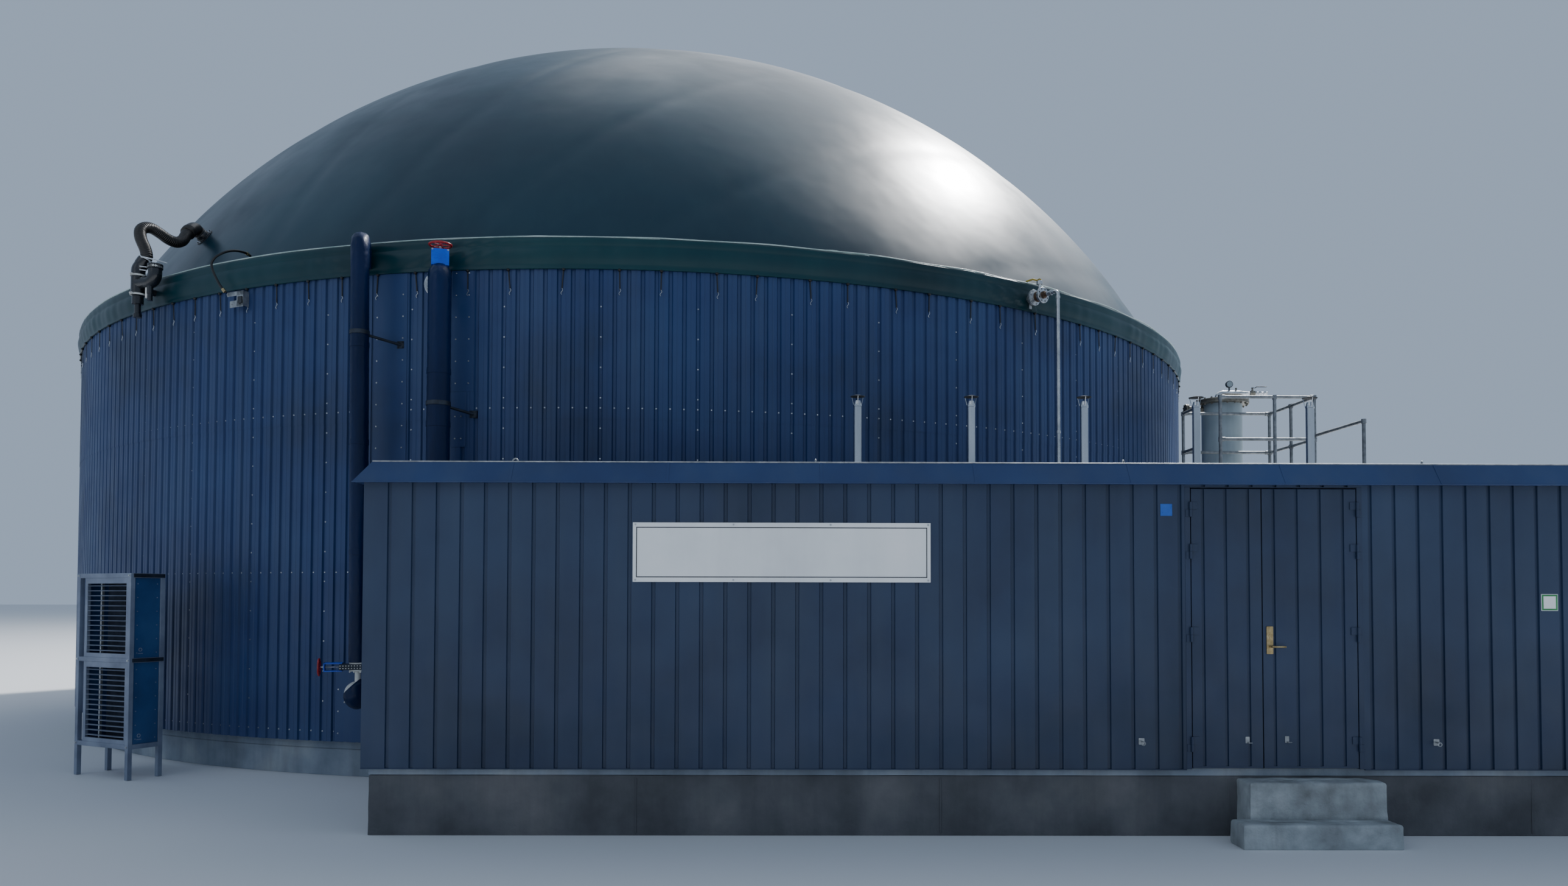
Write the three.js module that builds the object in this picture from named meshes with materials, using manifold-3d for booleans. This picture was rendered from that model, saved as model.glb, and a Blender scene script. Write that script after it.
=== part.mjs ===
// Biogas digester: an insulated concrete tank under a membrane gas dome, with its technical house.
// Millimetres, +Z up. The origin is on the tank's axis at ground level.
// +X runs along the front of the technical house, +Y points from that front towards the tank.
import * as THREE from "three";
import { mergeVertices } from "three/addons/utils/BufferGeometryUtils.js";
import Module from "manifold-3d";

const wasm = await Module();
wasm.setup();

const DEG = Math.PI / 180;
const GAP = 0.4; // clearance between faces that touch on the real object

// Tank
const TANK_R = 9500; // outside of the sheet cladding
const CLADDING_THICKNESS = 140; // insulation and trapezoidal sheet
const WALL_THICKNESS = 210; // cast concrete
const SLAB_TOP = 300;
const CLADDING_BOTTOM = 391;
const SKIRT_BOTTOM = 5517;
const SKIRT_TOP = 5860;
const SKIRT_THICKNESS = 50; // membrane, its clamping rail and the padding behind
const CREST_Z = SKIRT_TOP - 20; // the concrete crest that the membrane lies on
const FACET = 5; // degrees of one facet of the round tank
const WALL_SEGMENTS = 4;
const CLADDING_SEGMENTS = 4;

// Gas dome, a spherical cap
const DOME_SPHERE_R = 10330;
const DOME_CENTRE_Z = 1210;
const DOME_THICKNESS = 40;
const DOME_FACETS = 8; // from the top to the foot

// Technical house, on a 40 ft container's outline
const HOUSE_X = -1174; // left end
const HOUSE_Y = -12086; // front
const HOUSE_LENGTH = 12190;
const HOUSE_DEPTH = 2438;
const HOUSE_WALL = 80;
const PLINTH_SETBACK = 50;
const PLINTH_TOP = 500;
const FLOOR_TOP = 560;
const WALL_TOP = 2960;
const ROOF_TOP = 3060;
const ROOF_INSET = 40; // the roof panel bears on the inner half of the walls
const FASCIA_BOTTOM = 2930;
const FASCIA_TOP = 3114;
const FASCIA_OUT = 75; // how far its lower edge stands out
const FASCIA_IN = 50; // how far its upper edge leans back
const FASCIA_CURB = 130; // width of the upstand over the roof's edge

// Double door
const DOOR_LEFT = 5730;
const DOOR_MEETING = 6328;
const DOOR_RIGHT = 7130;
const DOOR_BOTTOM = 569;
const DOOR_TOP = 2900;
const LEAF_THICKNESS = 50;
const LEAF_SIDE_GAP = 8;
const MEETING_GAP = 10;
const FRAME_WIDTH = 44;
const FRAME_DEPTH = 90;
const STOP_WIDTH = 18; // rebate that the leaves close against
const HINGE_AXIS_OUT = 15; // hinge axis in front of the leaf's face
const HINGE_R = 13;
const HINGE_HEIGHTS = [2725, 2372, 1678, 768]; // middle of each hinge
const HINGE_LENGTH = 124;
const HANDLE_X = 6390;
const HANDLE_Z = 1579;

// Risers: insulated pipes up the tank's side
const RUN_ANGLE = 16.5 * DEG; // both turn in to the tank this far to the left of straight back
const RUN_WAY = [-Math.sin(RUN_ANGLE), Math.cos(RUN_ANGLE)];
const RISER_LEFT = { x: -2188, y: -9620, r: 95, bend: 150, top: 5808, sides: 14 };
const RISER_LEAN = 40; // its foot stands this far to the right of its top
const RISER_RIGHT = { x: -1296, y: -9740, r: 120.5, bend: 150, top: 5420, sides: 16 };
const FLANGE_R = 92;
const LOW_VALVE_Z = 1243;
const LOW_VALVE_HALF = 30; // half height of its housing, between the flanges
const LOW_FLANGE = 16;
const LEFT_FOOT_Z = LOW_VALVE_Z + LOW_VALVE_HALF + LOW_FLANGE; // the left riser stands on the valve
const LOW_WHEEL_OUT = 380; // the side handwheel, from the riser's foot
const LOW_ELBOW_Z = 936;
const LOW_ELBOW_R = 140;
const LOW_PIPE_R = 40; // bare pipe between the valve and the elbow
const WHEEL_TOP_R = 125;
const WHEEL_LOW_R = 96;
const WHEEL_TOP_Z = 5734;
const TOP_VALVE_IN = 120; // the top valve, from the riser's axis toward the tank
const YOKE_TOP_GAP = 53; // wheel's centre over the yoke
const RIM_R = 12; // thickness of a handwheel's rim
const YOKE_WIDTH = 150; // the two plates that carry a knife valve's stem nut
const TOP_YOKE_WIDTH = 182;
const YOKE_SPREAD = 100;
const LOW_YOKE_SPREAD = 80;
const YOKE_PLATE = 12;
const HUB_SHARE = 1.2; // half length of its hub, in rim radii

// Brackets that hold the risers off the cladding
const ARM_R = 15;
const ARM_FOOT = 80;

// Gas take-off on the right, at this angle round the tank
const GAS_ANGLE = -55.7 * DEG;
const GAS_Z = 5665;
const GAS_PIPE_R = 21;
const GAS_DROP_R = 9989; // distance of the down pipe from the tank's axis
const GAS_STEM_OUT = 152; // the lever's stem, from the skirt's face
const GAS_STEM_TOP = 195; // over the valve's axis

// The blower connection: relief pot on the tank's face, its hose and the port on the dome
const POT = { x: -5449, y: -8080, r: 78, foot: 5340, top: 5959 };
const CUP = { right: 275, inward: 60, height: 615 }; // from the pot's axis and foot
const CUFF_REACH = 144;
const CUFF_WAY = [0.57, 0.82]; // right and up
const HOSE_R = 68;
const PORT_FOOT = [-5185, -7089, 6648];
const PORT_LENGTH = 70;
const HOSE_ROUTE = [ // from the port to the relief pot's cuff
  [-5232, -7225, 6712],
  [-5215, -7320, 6680],
  [-5210, -7405, 6622],
  [-5206, -7490, 6540],
  [-5210, -7570, 6445],
  [-5240, -7650, 6400],
  [-5285, -7740, 6405],
  [-5340, -7840, 6450],
  [-5395, -7930, 6480],
  [-5435, -8000, 6460],
  [-5455, -8040, 6410],
  [-5445, -8060, 6335],
  [-5415, -8070, 6260],
  [-5380, -8075, 6190],
  [-5358, -8080, 6130],
  [-5352, -8080, 6080],
  [-5367, -8080, 6047],
  [-5395, -8080, 6007],
];

// Roof vents
const VENTS_X = [3070, 4200, 5325, 6445, 7580];
const VENT_Y = -10400;
const VENT_R = 39;
const VENT_HAT_R = 72;
const VENT_TOP = 3996;

// Filter vessel and its access platform
const INLET_Z = 2600; // its pipe from the tank, behind the house
const VESSEL = { x: 8718, y: -5500, r: 277, flange: 370, lid: 4820 };
const NOZZLE_Z = 4725; // short capped nozzle on its left, under the lid
const OUTLET_X = -68; // where the outlet leaves the lid, from the vessel's axis
const OUTLET_Z = 4965;
const OUTLET_VALVE_X = 450;
const GAUGE_X = 112;
const GAUGE_Z = 5092;
const DECK = { x0: 8020, x1: 9245, y0: -7150, y1: -5863, z: 3500 };
const LADDER_POST_Y = -6300; // the left side is open from here to the front, for a ladder
const RAIL_R = 21;
const MID_RAIL_Z = 4050;
const FRONT_RAIL_Z = 4097; // the rail that runs forward along the stair
const TOP_RAIL_Z = 4600;
const FRONT_RAIL_Y = -8330;

// Cooler, two louvred units in a frame turned along the tank
const COOLER = { x: -4695, y: -9380, turn: -27 * DEG, width: 950, depth: 390, top: 2230, unitLeft: 136 };

const digester = new THREE.Group();

const steel = (color, roughness = 0.35, metalness = 0.8) =>
  new THREE.MeshStandardMaterial({ color, roughness, metalness });
const matt = (color, roughness = 0.7) =>
  new THREE.MeshStandardMaterial({ color, roughness, metalness: 0 });

const concrete = matt(0xa8a7a2, 0.9);
const claddingSheet = steel(0x263548, 0.45, 0.3);
const membrane = matt(0x1d4a48, 0.3);
const galvanised = steel(0xa9adb0, 0.45);
const stainless = steel(0xc4c6c8, 0.3, 0.9);
const pipeJacket = matt(0x1b2a42, 0.6);
const blackRubber = matt(0x15171a, 0.5);
const yokeBlue = matt(0x1a5fc0, 0.45);
const wheelRed = matt(0xb01626, 0.4);
const leverYellow = matt(0xc9a51c, 0.4);
const white = matt(0xe4e6e6, 0.4);
const brass = steel(0xb59a5a, 0.35);

// A closed geometry as a solid that can be joined and cut.
function solidOf(geometry) {
  const bare = geometry.clone();
  bare.deleteAttribute("normal");
  bare.deleteAttribute("uv");
  const merged = mergeVertices(bare, 1e-3);
  const vertProperties = merged.attributes.position.array;
  const triVerts = new Uint32Array(merged.index.array);
  return new wasm.Manifold(new wasm.Mesh({ numProp: 3, vertProperties, triVerts }));
}

function geometryOf(solid) {
  const mesh = solid.getMesh();
  const geometry = new THREE.BufferGeometry();
  geometry.setAttribute("position", new THREE.BufferAttribute(mesh.vertProperties, 3));
  geometry.setIndex(new THREE.BufferAttribute(mesh.triVerts, 1));
  geometry.computeVertexNormals();
  return geometry;
}

function join(...pieces) {
  return geometryOf(pieces.map(solidOf).reduce((whole, next) => whole.add(next)));
}

function cut(piece, ...tools) {
  return geometryOf(tools.map(solidOf).reduce((rest, tool) => rest.subtract(tool), solidOf(piece)));
}

function add(parent, name, geometry, material) {
  const mesh = new THREE.Mesh(geometry, material);
  mesh.name = name;
  parent.add(mesh);
  return mesh;
}

function block(x0, x1, y0, y1, z0, z1) {
  const box = new THREE.BoxGeometry(x1 - x0, y1 - y0, z1 - z0);
  return box.translate((x0 + x1) / 2, (y0 + y1) / 2, (z0 + z1) / 2);
}

// A block whose upper face is smaller on each side by lean.
function hippedBlock(x0, x1, y0, y1, z0, z1, lean) {
  const box = block(x0, x1, y0, y1, z0, z1);
  const at = box.attributes.position;
  for (let i = 0; i < at.count; i += 1) {
    if (at.getZ(i) < (z0 + z1) / 2) continue;
    at.setX(i, at.getX(i) + (at.getX(i) < (x0 + x1) / 2 ? lean : -lean));
    at.setY(i, at.getY(i) + (at.getY(i) < (y0 + y1) / 2 ? lean : -lean));
  }
  return box;
}

// A round bar between two points.
function rod(from, to, radius, sides = 8) {
  const a = new THREE.Vector3(...from);
  const b = new THREE.Vector3(...to);
  const along = b.clone().sub(a);
  const bar = new THREE.CylinderGeometry(radius, radius, along.length(), sides);
  const up = new THREE.Vector3(0, 1, 0);
  bar.applyQuaternion(new THREE.Quaternion().setFromUnitVectors(up, along.clone().normalize()));
  return bar.translate(...a.add(b).multiplyScalar(0.5).toArray());
}

// A profile of [radius, height] points turned about the Z axis.
function turned(profile, steps = 360 / FACET) {
  const points = profile.map(([r, z]) => new THREE.Vector2(r, z));
  return new THREE.LatheGeometry(points, steps).rotateX(Math.PI / 2);
}

// A turned piece whose axis points away from the tank's axis, at an angle and height.
function turnedOutward(profile, angle, z, steps = 16) {
  const piece = turned(profile, steps).rotateY(Math.PI / 2);
  return piece.rotateZ(angle).translate(0, 0, z);
}

// A ring's share between two angles in degrees, with straight facets.
function ringSegment(inner, outer, z0, z1, from, to) {
  const shape = new THREE.Shape();
  const trim = (GAP / 2 / inner) / DEG;
  const angles = [from + trim];
  for (let a = from + FACET; a < to - 0.01; a += FACET) angles.push(a);
  angles.push(to - trim);
  const at = (r, a) => [r * Math.cos(a * DEG), r * Math.sin(a * DEG)];
  angles.forEach((a, i) => (i ? shape.lineTo(...at(outer, a)) : shape.moveTo(...at(outer, a))));
  angles.reverse().forEach((a) => shape.lineTo(...at(inner, a)));
  shape.closePath();
  const segment = new THREE.ExtrudeGeometry(shape, { depth: z1 - z0, bevelEnabled: false });
  return segment.translate(0, 0, z0);
}

// An arc through a pipe's corner.
class Bend extends THREE.Curve {
  constructor(centre, start, along, angle) {
    super();
    Object.assign(this, { centre, start, along, angle });
  }

  getPoint(t, target = new THREE.Vector3()) {
    const turn = this.angle * t;
    target.copy(this.centre).addScaledVector(this.start, Math.cos(turn));
    return target.addScaledVector(this.along, Math.sin(turn));
  }
}

function swept(curve, radius, sides, steps) {
  const section = new THREE.Shape();
  for (let i = 0; i < sides; i += 1) {
    const a = (i / sides) * 2 * Math.PI;
    const at = [radius * Math.cos(a), radius * Math.sin(a)];
    if (i) section.lineTo(...at);
    else section.moveTo(...at);
  }
  section.closePath();
  return new THREE.ExtrudeGeometry(section, { steps, extrudePath: curve, bevelEnabled: false });
}

// A pipe along straight runs, with round bends at the corners.
function pipe(points, radius, bendRadius, sides = 12) {
  const at = points.map((p) => new THREE.Vector3(...p));
  const pieces = [];
  let from = at[0].clone();
  for (let i = 1; i < at.length - 1; i += 1) {
    const into = at[i].clone().sub(at[i - 1]).normalize();
    const out = at[i + 1].clone().sub(at[i]).normalize();
    const angle = into.angleTo(out);
    const reach = bendRadius * Math.tan(angle / 2);
    const start = at[i].clone().addScaledVector(into, -reach);
    const inward = out.clone().addScaledVector(into, -into.dot(out)).normalize();
    const centre = start.clone().addScaledVector(inward, bendRadius);
    const radial = inward.clone().multiplyScalar(-bendRadius);
    const curve = new Bend(centre, radial, into.clone().multiplyScalar(bendRadius), angle);
    const steps = Math.max(2, Math.round(angle / (18 * DEG)));
    pieces.push(swept(curve, radius, sides, steps));
    pieces.push(rod(from.toArray(), start.clone().addScaledVector(into, 1).toArray(), radius, sides));
    from = at[i].clone().addScaledVector(out, reach - 1);
  }
  pieces.push(rod(from.toArray(), at[at.length - 1].toArray(), radius, sides));
  return join(...pieces);
}

// A handwheel about the Z axis, its hub's middle at the origin.
function handwheel(radius, rim) {
  const parts = [
    new THREE.TorusGeometry(radius - rim, rim, 6, 20),
    new THREE.CylinderGeometry(rim * 1.6, rim * 1.6, 2 * rim * HUB_SHARE, 10).rotateX(Math.PI / 2),
  ];
  for (let i = 0; i < 3; i += 1) {
    const a = (i / 3) * 2 * Math.PI;
    const end = [(radius - rim) * Math.cos(a), (radius - rim) * Math.sin(a), 0];
    parts.push(rod([0, 0, 0], end, rim * 0.55, 6));
  }
  return join(...parts);
}

// Everything that the pipes on the tank's side must stop at: cladding and skirt.
const tankOutside = join(
  turned([[0, CLADDING_BOTTOM], [TANK_R + GAP, CLADDING_BOTTOM], [TANK_R + GAP, SKIRT_TOP - 10], [0, SKIRT_TOP - 10]]),
  turned([
    [0, SKIRT_BOTTOM - GAP],
    [TANK_R + SKIRT_THICKNESS + GAP, SKIRT_BOTTOM - GAP],
    [TANK_R + SKIRT_THICKNESS + GAP, SKIRT_TOP + GAP],
    [0, SKIRT_TOP + GAP],
  ]),
);

// The tank: slab, concrete wall in segments, cladding, skirt and dome
function buildTank() {
  const wallOuter = TANK_R - CLADDING_THICKNESS - GAP;
  const wallInner = wallOuter - WALL_THICKNESS;
  add(digester, "tank_floor", turned([[0, 0], [wallOuter, 0], [wallOuter, SLAB_TOP], [0, SLAB_TOP]]), concrete);
  for (let i = 0; i < WALL_SEGMENTS; i += 1) {
    const share = 360 / WALL_SEGMENTS;
    const segment = ringSegment(wallInner, wallOuter, SLAB_TOP, CREST_Z, i * share, (i + 1) * share);
    add(digester, `tank_wall_${i + 1}`, segment, concrete);
  }
  for (let i = 0; i < CLADDING_SEGMENTS; i += 1) {
    const share = 360 / CLADDING_SEGMENTS;
    const inner = TANK_R - CLADDING_THICKNESS;
    const sheet = ringSegment(inner, TANK_R, CLADDING_BOTTOM, CREST_Z, i * share, (i + 1) * share);
    add(digester, `cladding_${i + 1}`, sheet, claddingSheet);
  }
  const domeFoot = Math.sqrt(DOME_SPHERE_R ** 2 - (SKIRT_TOP - DOME_CENTRE_Z) ** 2);
  const skirtInner = TANK_R + GAP;
  const skirtOuter = TANK_R + SKIRT_THICKNESS;
  const foldInner = domeFoot - 60;
  add(digester, "membrane_skirt", turned([
    [skirtInner, SKIRT_BOTTOM],
    [skirtOuter, SKIRT_BOTTOM],
    [skirtOuter, SKIRT_TOP],
    [foldInner, SKIRT_TOP],
    [foldInner, CREST_Z],
    [skirtInner, CREST_Z],
    [skirtInner, SKIRT_BOTTOM],
  ]), membrane);

  const inside = domeArc(DOME_SPHERE_R - DOME_THICKNESS, DOME_FACETS / 2);
  const outside = domeArc(DOME_SPHERE_R, DOME_FACETS).reverse();
  add(digester, "gas_dome", turned([...inside, ...outside]), membrane);
}

// Points of a cap's profile from its top to its foot on the skirt.
function domeArc(radius, steps) {
  const half = Math.acos((SKIRT_TOP - DOME_CENTRE_Z) / radius);
  const points = [[0, DOME_CENTRE_Z + radius]];
  for (let i = 1; i < steps; i += 1) {
    const a = (half * i) / steps;
    points.push([radius * Math.sin(a), DOME_CENTRE_Z + radius * Math.cos(a)]);
  }
  points.push([radius * Math.sin(half), SKIRT_TOP]);
  return points;
}

// The technical house: plinth, floor, walls, roof and its slanted edge
function buildHouse() {
  const x0 = HOUSE_X;
  const x1 = HOUSE_X + HOUSE_LENGTH;
  const y0 = HOUSE_Y;
  const y1 = HOUSE_Y + HOUSE_DEPTH;
  const s = PLINTH_SETBACK;
  const w = HOUSE_WALL;
  const doorLeft = DOOR_LEFT - FRAME_WIDTH;
  const doorRight = DOOR_RIGHT + FRAME_WIDTH;
  const frameTop = DOOR_TOP + 15;
  add(digester, "house_plinth", block(x0 + s, x1 - s, y0 + s, y1 - s, 0, PLINTH_TOP), concrete);
  add(digester, "house_floor", block(x0 + s, x1 - s, y0 + s, y1 - s, PLINTH_TOP, FLOOR_TOP), concrete);
  const wall = (name, ...at) => add(digester, name, block(...at), claddingSheet);
  wall("front_wall_left", x0, doorLeft - GAP, y0, y0 + w, FLOOR_TOP, WALL_TOP);
  wall("front_wall_right", doorRight + GAP, x1, y0, y0 + w, FLOOR_TOP, WALL_TOP);
  wall("front_wall_over_door", doorLeft, doorRight, y0, y0 + w, frameTop + GAP, WALL_TOP);
  wall("back_wall", x0, x1, y1 - w, y1, FLOOR_TOP, WALL_TOP);
  wall("end_wall_left", x0, x0 + w, y0 + w + GAP, y1 - w - GAP, FLOOR_TOP, WALL_TOP);
  wall("end_wall_right", x1 - w, x1, y0 + w + GAP, y1 - w - GAP, FLOOR_TOP, WALL_TOP);
  const i = ROOF_INSET;
  wall("house_roof", x0 + i, x1 - i, y0 + i, y1 - i, WALL_TOP, ROOF_TOP);

  const f = FASCIA_OUT;
  const lean = FASCIA_OUT + FASCIA_IN;
  const c = FASCIA_CURB;
  const riserRoom = RISER_RIGHT.r + 25;
  const edge = cut(
    hippedBlock(x0 - f, x1 + f, y0 - f, y1 + f, FASCIA_BOTTOM, FASCIA_TOP, lean),
    block(x0 - GAP, x1 + GAP, y0 - GAP, y1 + GAP, FASCIA_BOTTOM - 1, WALL_TOP + GAP),
    block(x0 + i - GAP, x1 - i + GAP, y0 + i - GAP, y1 - i + GAP, WALL_TOP, ROOF_TOP),
    block(x0 + c, x1 - c, y0 + c, y1 - c, ROOF_TOP - 1, FASCIA_TOP + 1),
    block(x0 - f - 1, x0 - GAP, RISER_RIGHT.y - riserRoom, y1 + f + 1, FASCIA_BOTTOM - 1, FASCIA_TOP + 1),
  );
  add(digester, "roof_fascia", edge, claddingSheet);
  add(digester, "sign_board", block(1069, 3553, y0 - 12, y0, 2107, 2603), white);
}

// The double door: a rebated frame and two leaves that open outward
function buildDoor() {
  const front = HOUSE_Y;
  const outerLeft = DOOR_LEFT - FRAME_WIDTH;
  const outerRight = DOOR_RIGHT + FRAME_WIDTH;
  const head = DOOR_TOP + LEAF_SIDE_GAP;
  const leafBack = front + LEAF_THICKNESS;
  const frame = [cut(
    block(outerLeft, outerRight, front, front + FRAME_DEPTH, FLOOR_TOP, DOOR_TOP + 15),
    block(DOOR_LEFT - GAP, DOOR_RIGHT + GAP, front - 1, leafBack + 6, FLOOR_TOP - 1, head),
    block(
      DOOR_LEFT + STOP_WIDTH,
      DOOR_RIGHT - STOP_WIDTH,
      front - 1,
      front + FRAME_DEPTH + 1,
      FLOOR_TOP - 1,
      head - STOP_WIDTH,
    ),
  )];
  const axisY = front - HINGE_AXIS_OUT;
  const half = HINGE_LENGTH / 2;
  const knuckle = (x, y, z0, z1) => rod([x, y, z0], [x, y, z1], HINGE_R, 10);
  const strap = (x0, x1, y0, z0, z1) => block(x0, x1, y0, y0 + HINGE_AXIS_OUT - 8 + 1, z0, z1);
  for (const z of HINGE_HEIGHTS) {
    for (const side of [-1, 1]) {
      const x = side < 0 ? DOOR_LEFT : DOOR_RIGHT;
      const far = x + side * (FRAME_WIDTH - 4);
      frame.push(knuckle(x, axisY, z - half, z - 1));
      frame.push(strap(Math.min(x, far), Math.max(x, far), front - 8, z - half, z - 1));
    }
  }
  add(digester, "door_frame", join(...frame), claddingSheet);

  // Each leaf lies in its own group on the hinge axis; the wide one carries the handle plate.
  const handleX = HANDLE_X - DOOR_RIGHT;
  const leaf = (name, axisX, side, width) => {
    const hinge = new THREE.Group();
    hinge.position.set(axisX, axisY, 0);
    digester.add(hinge);
    const near = side * LEAF_SIDE_GAP;
    const far = side * width;
    const y = HINGE_AXIS_OUT;
    const panel = block(Math.min(near, far), Math.max(near, far), y, y + LEAF_THICKNESS, DOOR_BOTTOM, DOOR_TOP);
    const parts = [panel];
    for (const z of HINGE_HEIGHTS) {
      parts.push(knuckle(0, 0, z, z + half));
      parts.push(strap(Math.min(0, side * 60), Math.max(0, side * 60), HINGE_AXIS_OUT - 8, z, z + half));
    }
    if (side < 0) parts.push(block(handleX - 31, handleX + 24, y - 8, y + 1, HANDLE_Z - 62, HANDLE_Z + 169));
    add(hinge, name, join(...parts), claddingSheet);
    return hinge;
  };
  leaf("door_leaf_narrow", DOOR_LEFT, 1, DOOR_MEETING - MEETING_GAP / 2 - DOOR_LEFT);
  const wide = leaf("door_leaf_wide", DOOR_RIGHT, -1, DOOR_RIGHT - DOOR_MEETING - MEETING_GAP / 2);

  const handle = new THREE.Group();
  handle.position.set(handleX, HINGE_AXIS_OUT, HANDLE_Z);
  wide.add(handle);
  const grip = join(
    rod([0, -8 - GAP, 0], [0, -62, 0], 10, 10),
    rod([-10, -54, 0], [112, -54, 0], 9, 10),
  );
  add(handle, "door_lever", grip, brass);
}

function buildSteps() {
  const front = HOUSE_Y + PLINTH_SETBACK;
  add(digester, "step_upper", block(6120, 7230, -12300, front - GAP, 0, 483), concrete);
  add(digester, "step_lower", block(5960, 7220, -12550, -12300 - GAP, 0, 193), concrete);
}

function buildVents() {
  VENTS_X.forEach((x, i) => {
    const vent = turned([
      [0, ROOF_TOP],
      [VENT_R + 35, ROOF_TOP],
      [VENT_R + 35, ROOF_TOP + 8],
      [VENT_R, ROOF_TOP + 60],
      [VENT_R, VENT_TOP - 107],
      [VENT_R - 11, VENT_TOP - 58],
      [VENT_R - 11, VENT_TOP - 40],
      [VENT_HAT_R, VENT_TOP - 20],
      [VENT_HAT_R, VENT_TOP - 14],
      [0, VENT_TOP],
    ], 14);
    add(digester, `roof_vent_${i + 1}`, vent.translate(x, VENT_Y, 0), stainless);
  });
}

// Where the leaning axis of the left riser is at a height
const leftAxis = (z) => RISER_LEFT.x + (RISER_LEAN * (RISER_LEFT.top - z)) / (RISER_LEFT.top - LEFT_FOOT_Z);

// A point at a riser, from its axis toward the tank
const turnedIn = ({ x, y }) => (inward, z) => [x + RUN_WAY[0] * inward, y + RUN_WAY[1] * inward, z];

// The left riser: gooseneck, knife valve with a side handwheel, and the low elbow into the tank
function buildLeftRiser() {
  const { x, y, r, bend, top, sides } = RISER_LEFT;
  const at = turnedIn(RISER_LEFT);
  const foot = x + RISER_LEAN;
  const start = LEFT_FOOT_Z - 5;
  const route = [[leftAxis(start), y, start], at(0, top), at(2 * bend * 0.93, top + 8), at(2 * bend, top - 235)];
  const under = block(foot - 2 * r, foot + 2 * r, y - 2 * r, y + 2 * r, LOW_VALVE_Z, LEFT_FOOT_Z + GAP);
  add(digester, "riser_left", cut(pipe(route, r, bend * 0.86, sides), tankOutside, under), pipeJacket);

  // The valve and the elbow stand at the foot, the handwheel to the left and the tank behind.
  const valve = new THREE.Group();
  valve.position.set(foot, y, 0);
  valve.rotation.z = RUN_ANGLE;
  digester.add(valve);
  const upright = (z0, z1, radius) => rod([0, 0, z0], [0, 0, z1], radius, 16);
  const low = LOW_VALVE_Z - LOW_VALVE_HALF;
  const high = LOW_VALVE_Z + LOW_VALVE_HALF;
  const yokeEnd = -LOW_WHEEL_OUT + 47;
  const yokeFoot = -150;
  const hubHalf = RIM_R * HUB_SHARE;
  const body = join(
    upright(low - LOW_FLANGE, low, FLANGE_R),
    upright(high, LEFT_FOOT_Z, FLANGE_R),
    upright(low - 2, high + 2, FLANGE_R - 6),
    block(yokeFoot - 30, 0, -42, 42, LOW_VALVE_Z - 26, LOW_VALVE_Z + 26),
    upright(LOW_ELBOW_Z + 40, low, LOW_PIPE_R),
  );
  const ball = (radius) =>
    new THREE.SphereGeometry(radius, 16, 10).rotateX(Math.PI / 2).translate(0, 0, LOW_ELBOW_Z);
  const elbow = join(ball(LOW_ELBOW_R), rod([0, 0, LOW_ELBOW_Z], [0, 500, LOW_ELBOW_Z], LOW_ELBOW_R - 16, 16));
  const tankHere = tankOutside.clone().translate(-foot, -y, 0).rotateZ(-RUN_ANGLE);
  add(valve, "low_elbow", cut(elbow, tankHere), pipeJacket);
  const w = YOKE_WIDTH / 2;
  const spread = LOW_YOKE_SPREAD / 2;
  const cross = spread + YOKE_PLATE / 2;
  const bar = (z) => block(yokeEnd, yokeFoot, -w, w, z - YOKE_PLATE / 2, z + YOKE_PLATE / 2);
  const endPlate = (from) => block(from, from + YOKE_PLATE, -w, w, LOW_VALVE_Z - cross, LOW_VALVE_Z + cross);
  const yoke = join(
    bar(LOW_VALVE_Z - spread),
    bar(LOW_VALVE_Z + spread),
    endPlate(yokeEnd),
    endPlate(yokeFoot - YOKE_PLATE),
    rod([yokeFoot - 36, 0, LOW_VALVE_Z], [-LOW_WHEEL_OUT + hubHalf + GAP, 0, LOW_VALVE_Z], 11, 10),
  );
  add(valve, "low_valve", join(cut(body, ball(LOW_ELBOW_R + GAP)), yoke), yokeBlue);
  const wheel = handwheel(WHEEL_LOW_R, RIM_R).rotateY(Math.PI / 2).translate(-LOW_WHEEL_OUT, 0, LOW_VALVE_Z);
  add(valve, "low_handwheel", wheel, wheelRed);
}

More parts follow.
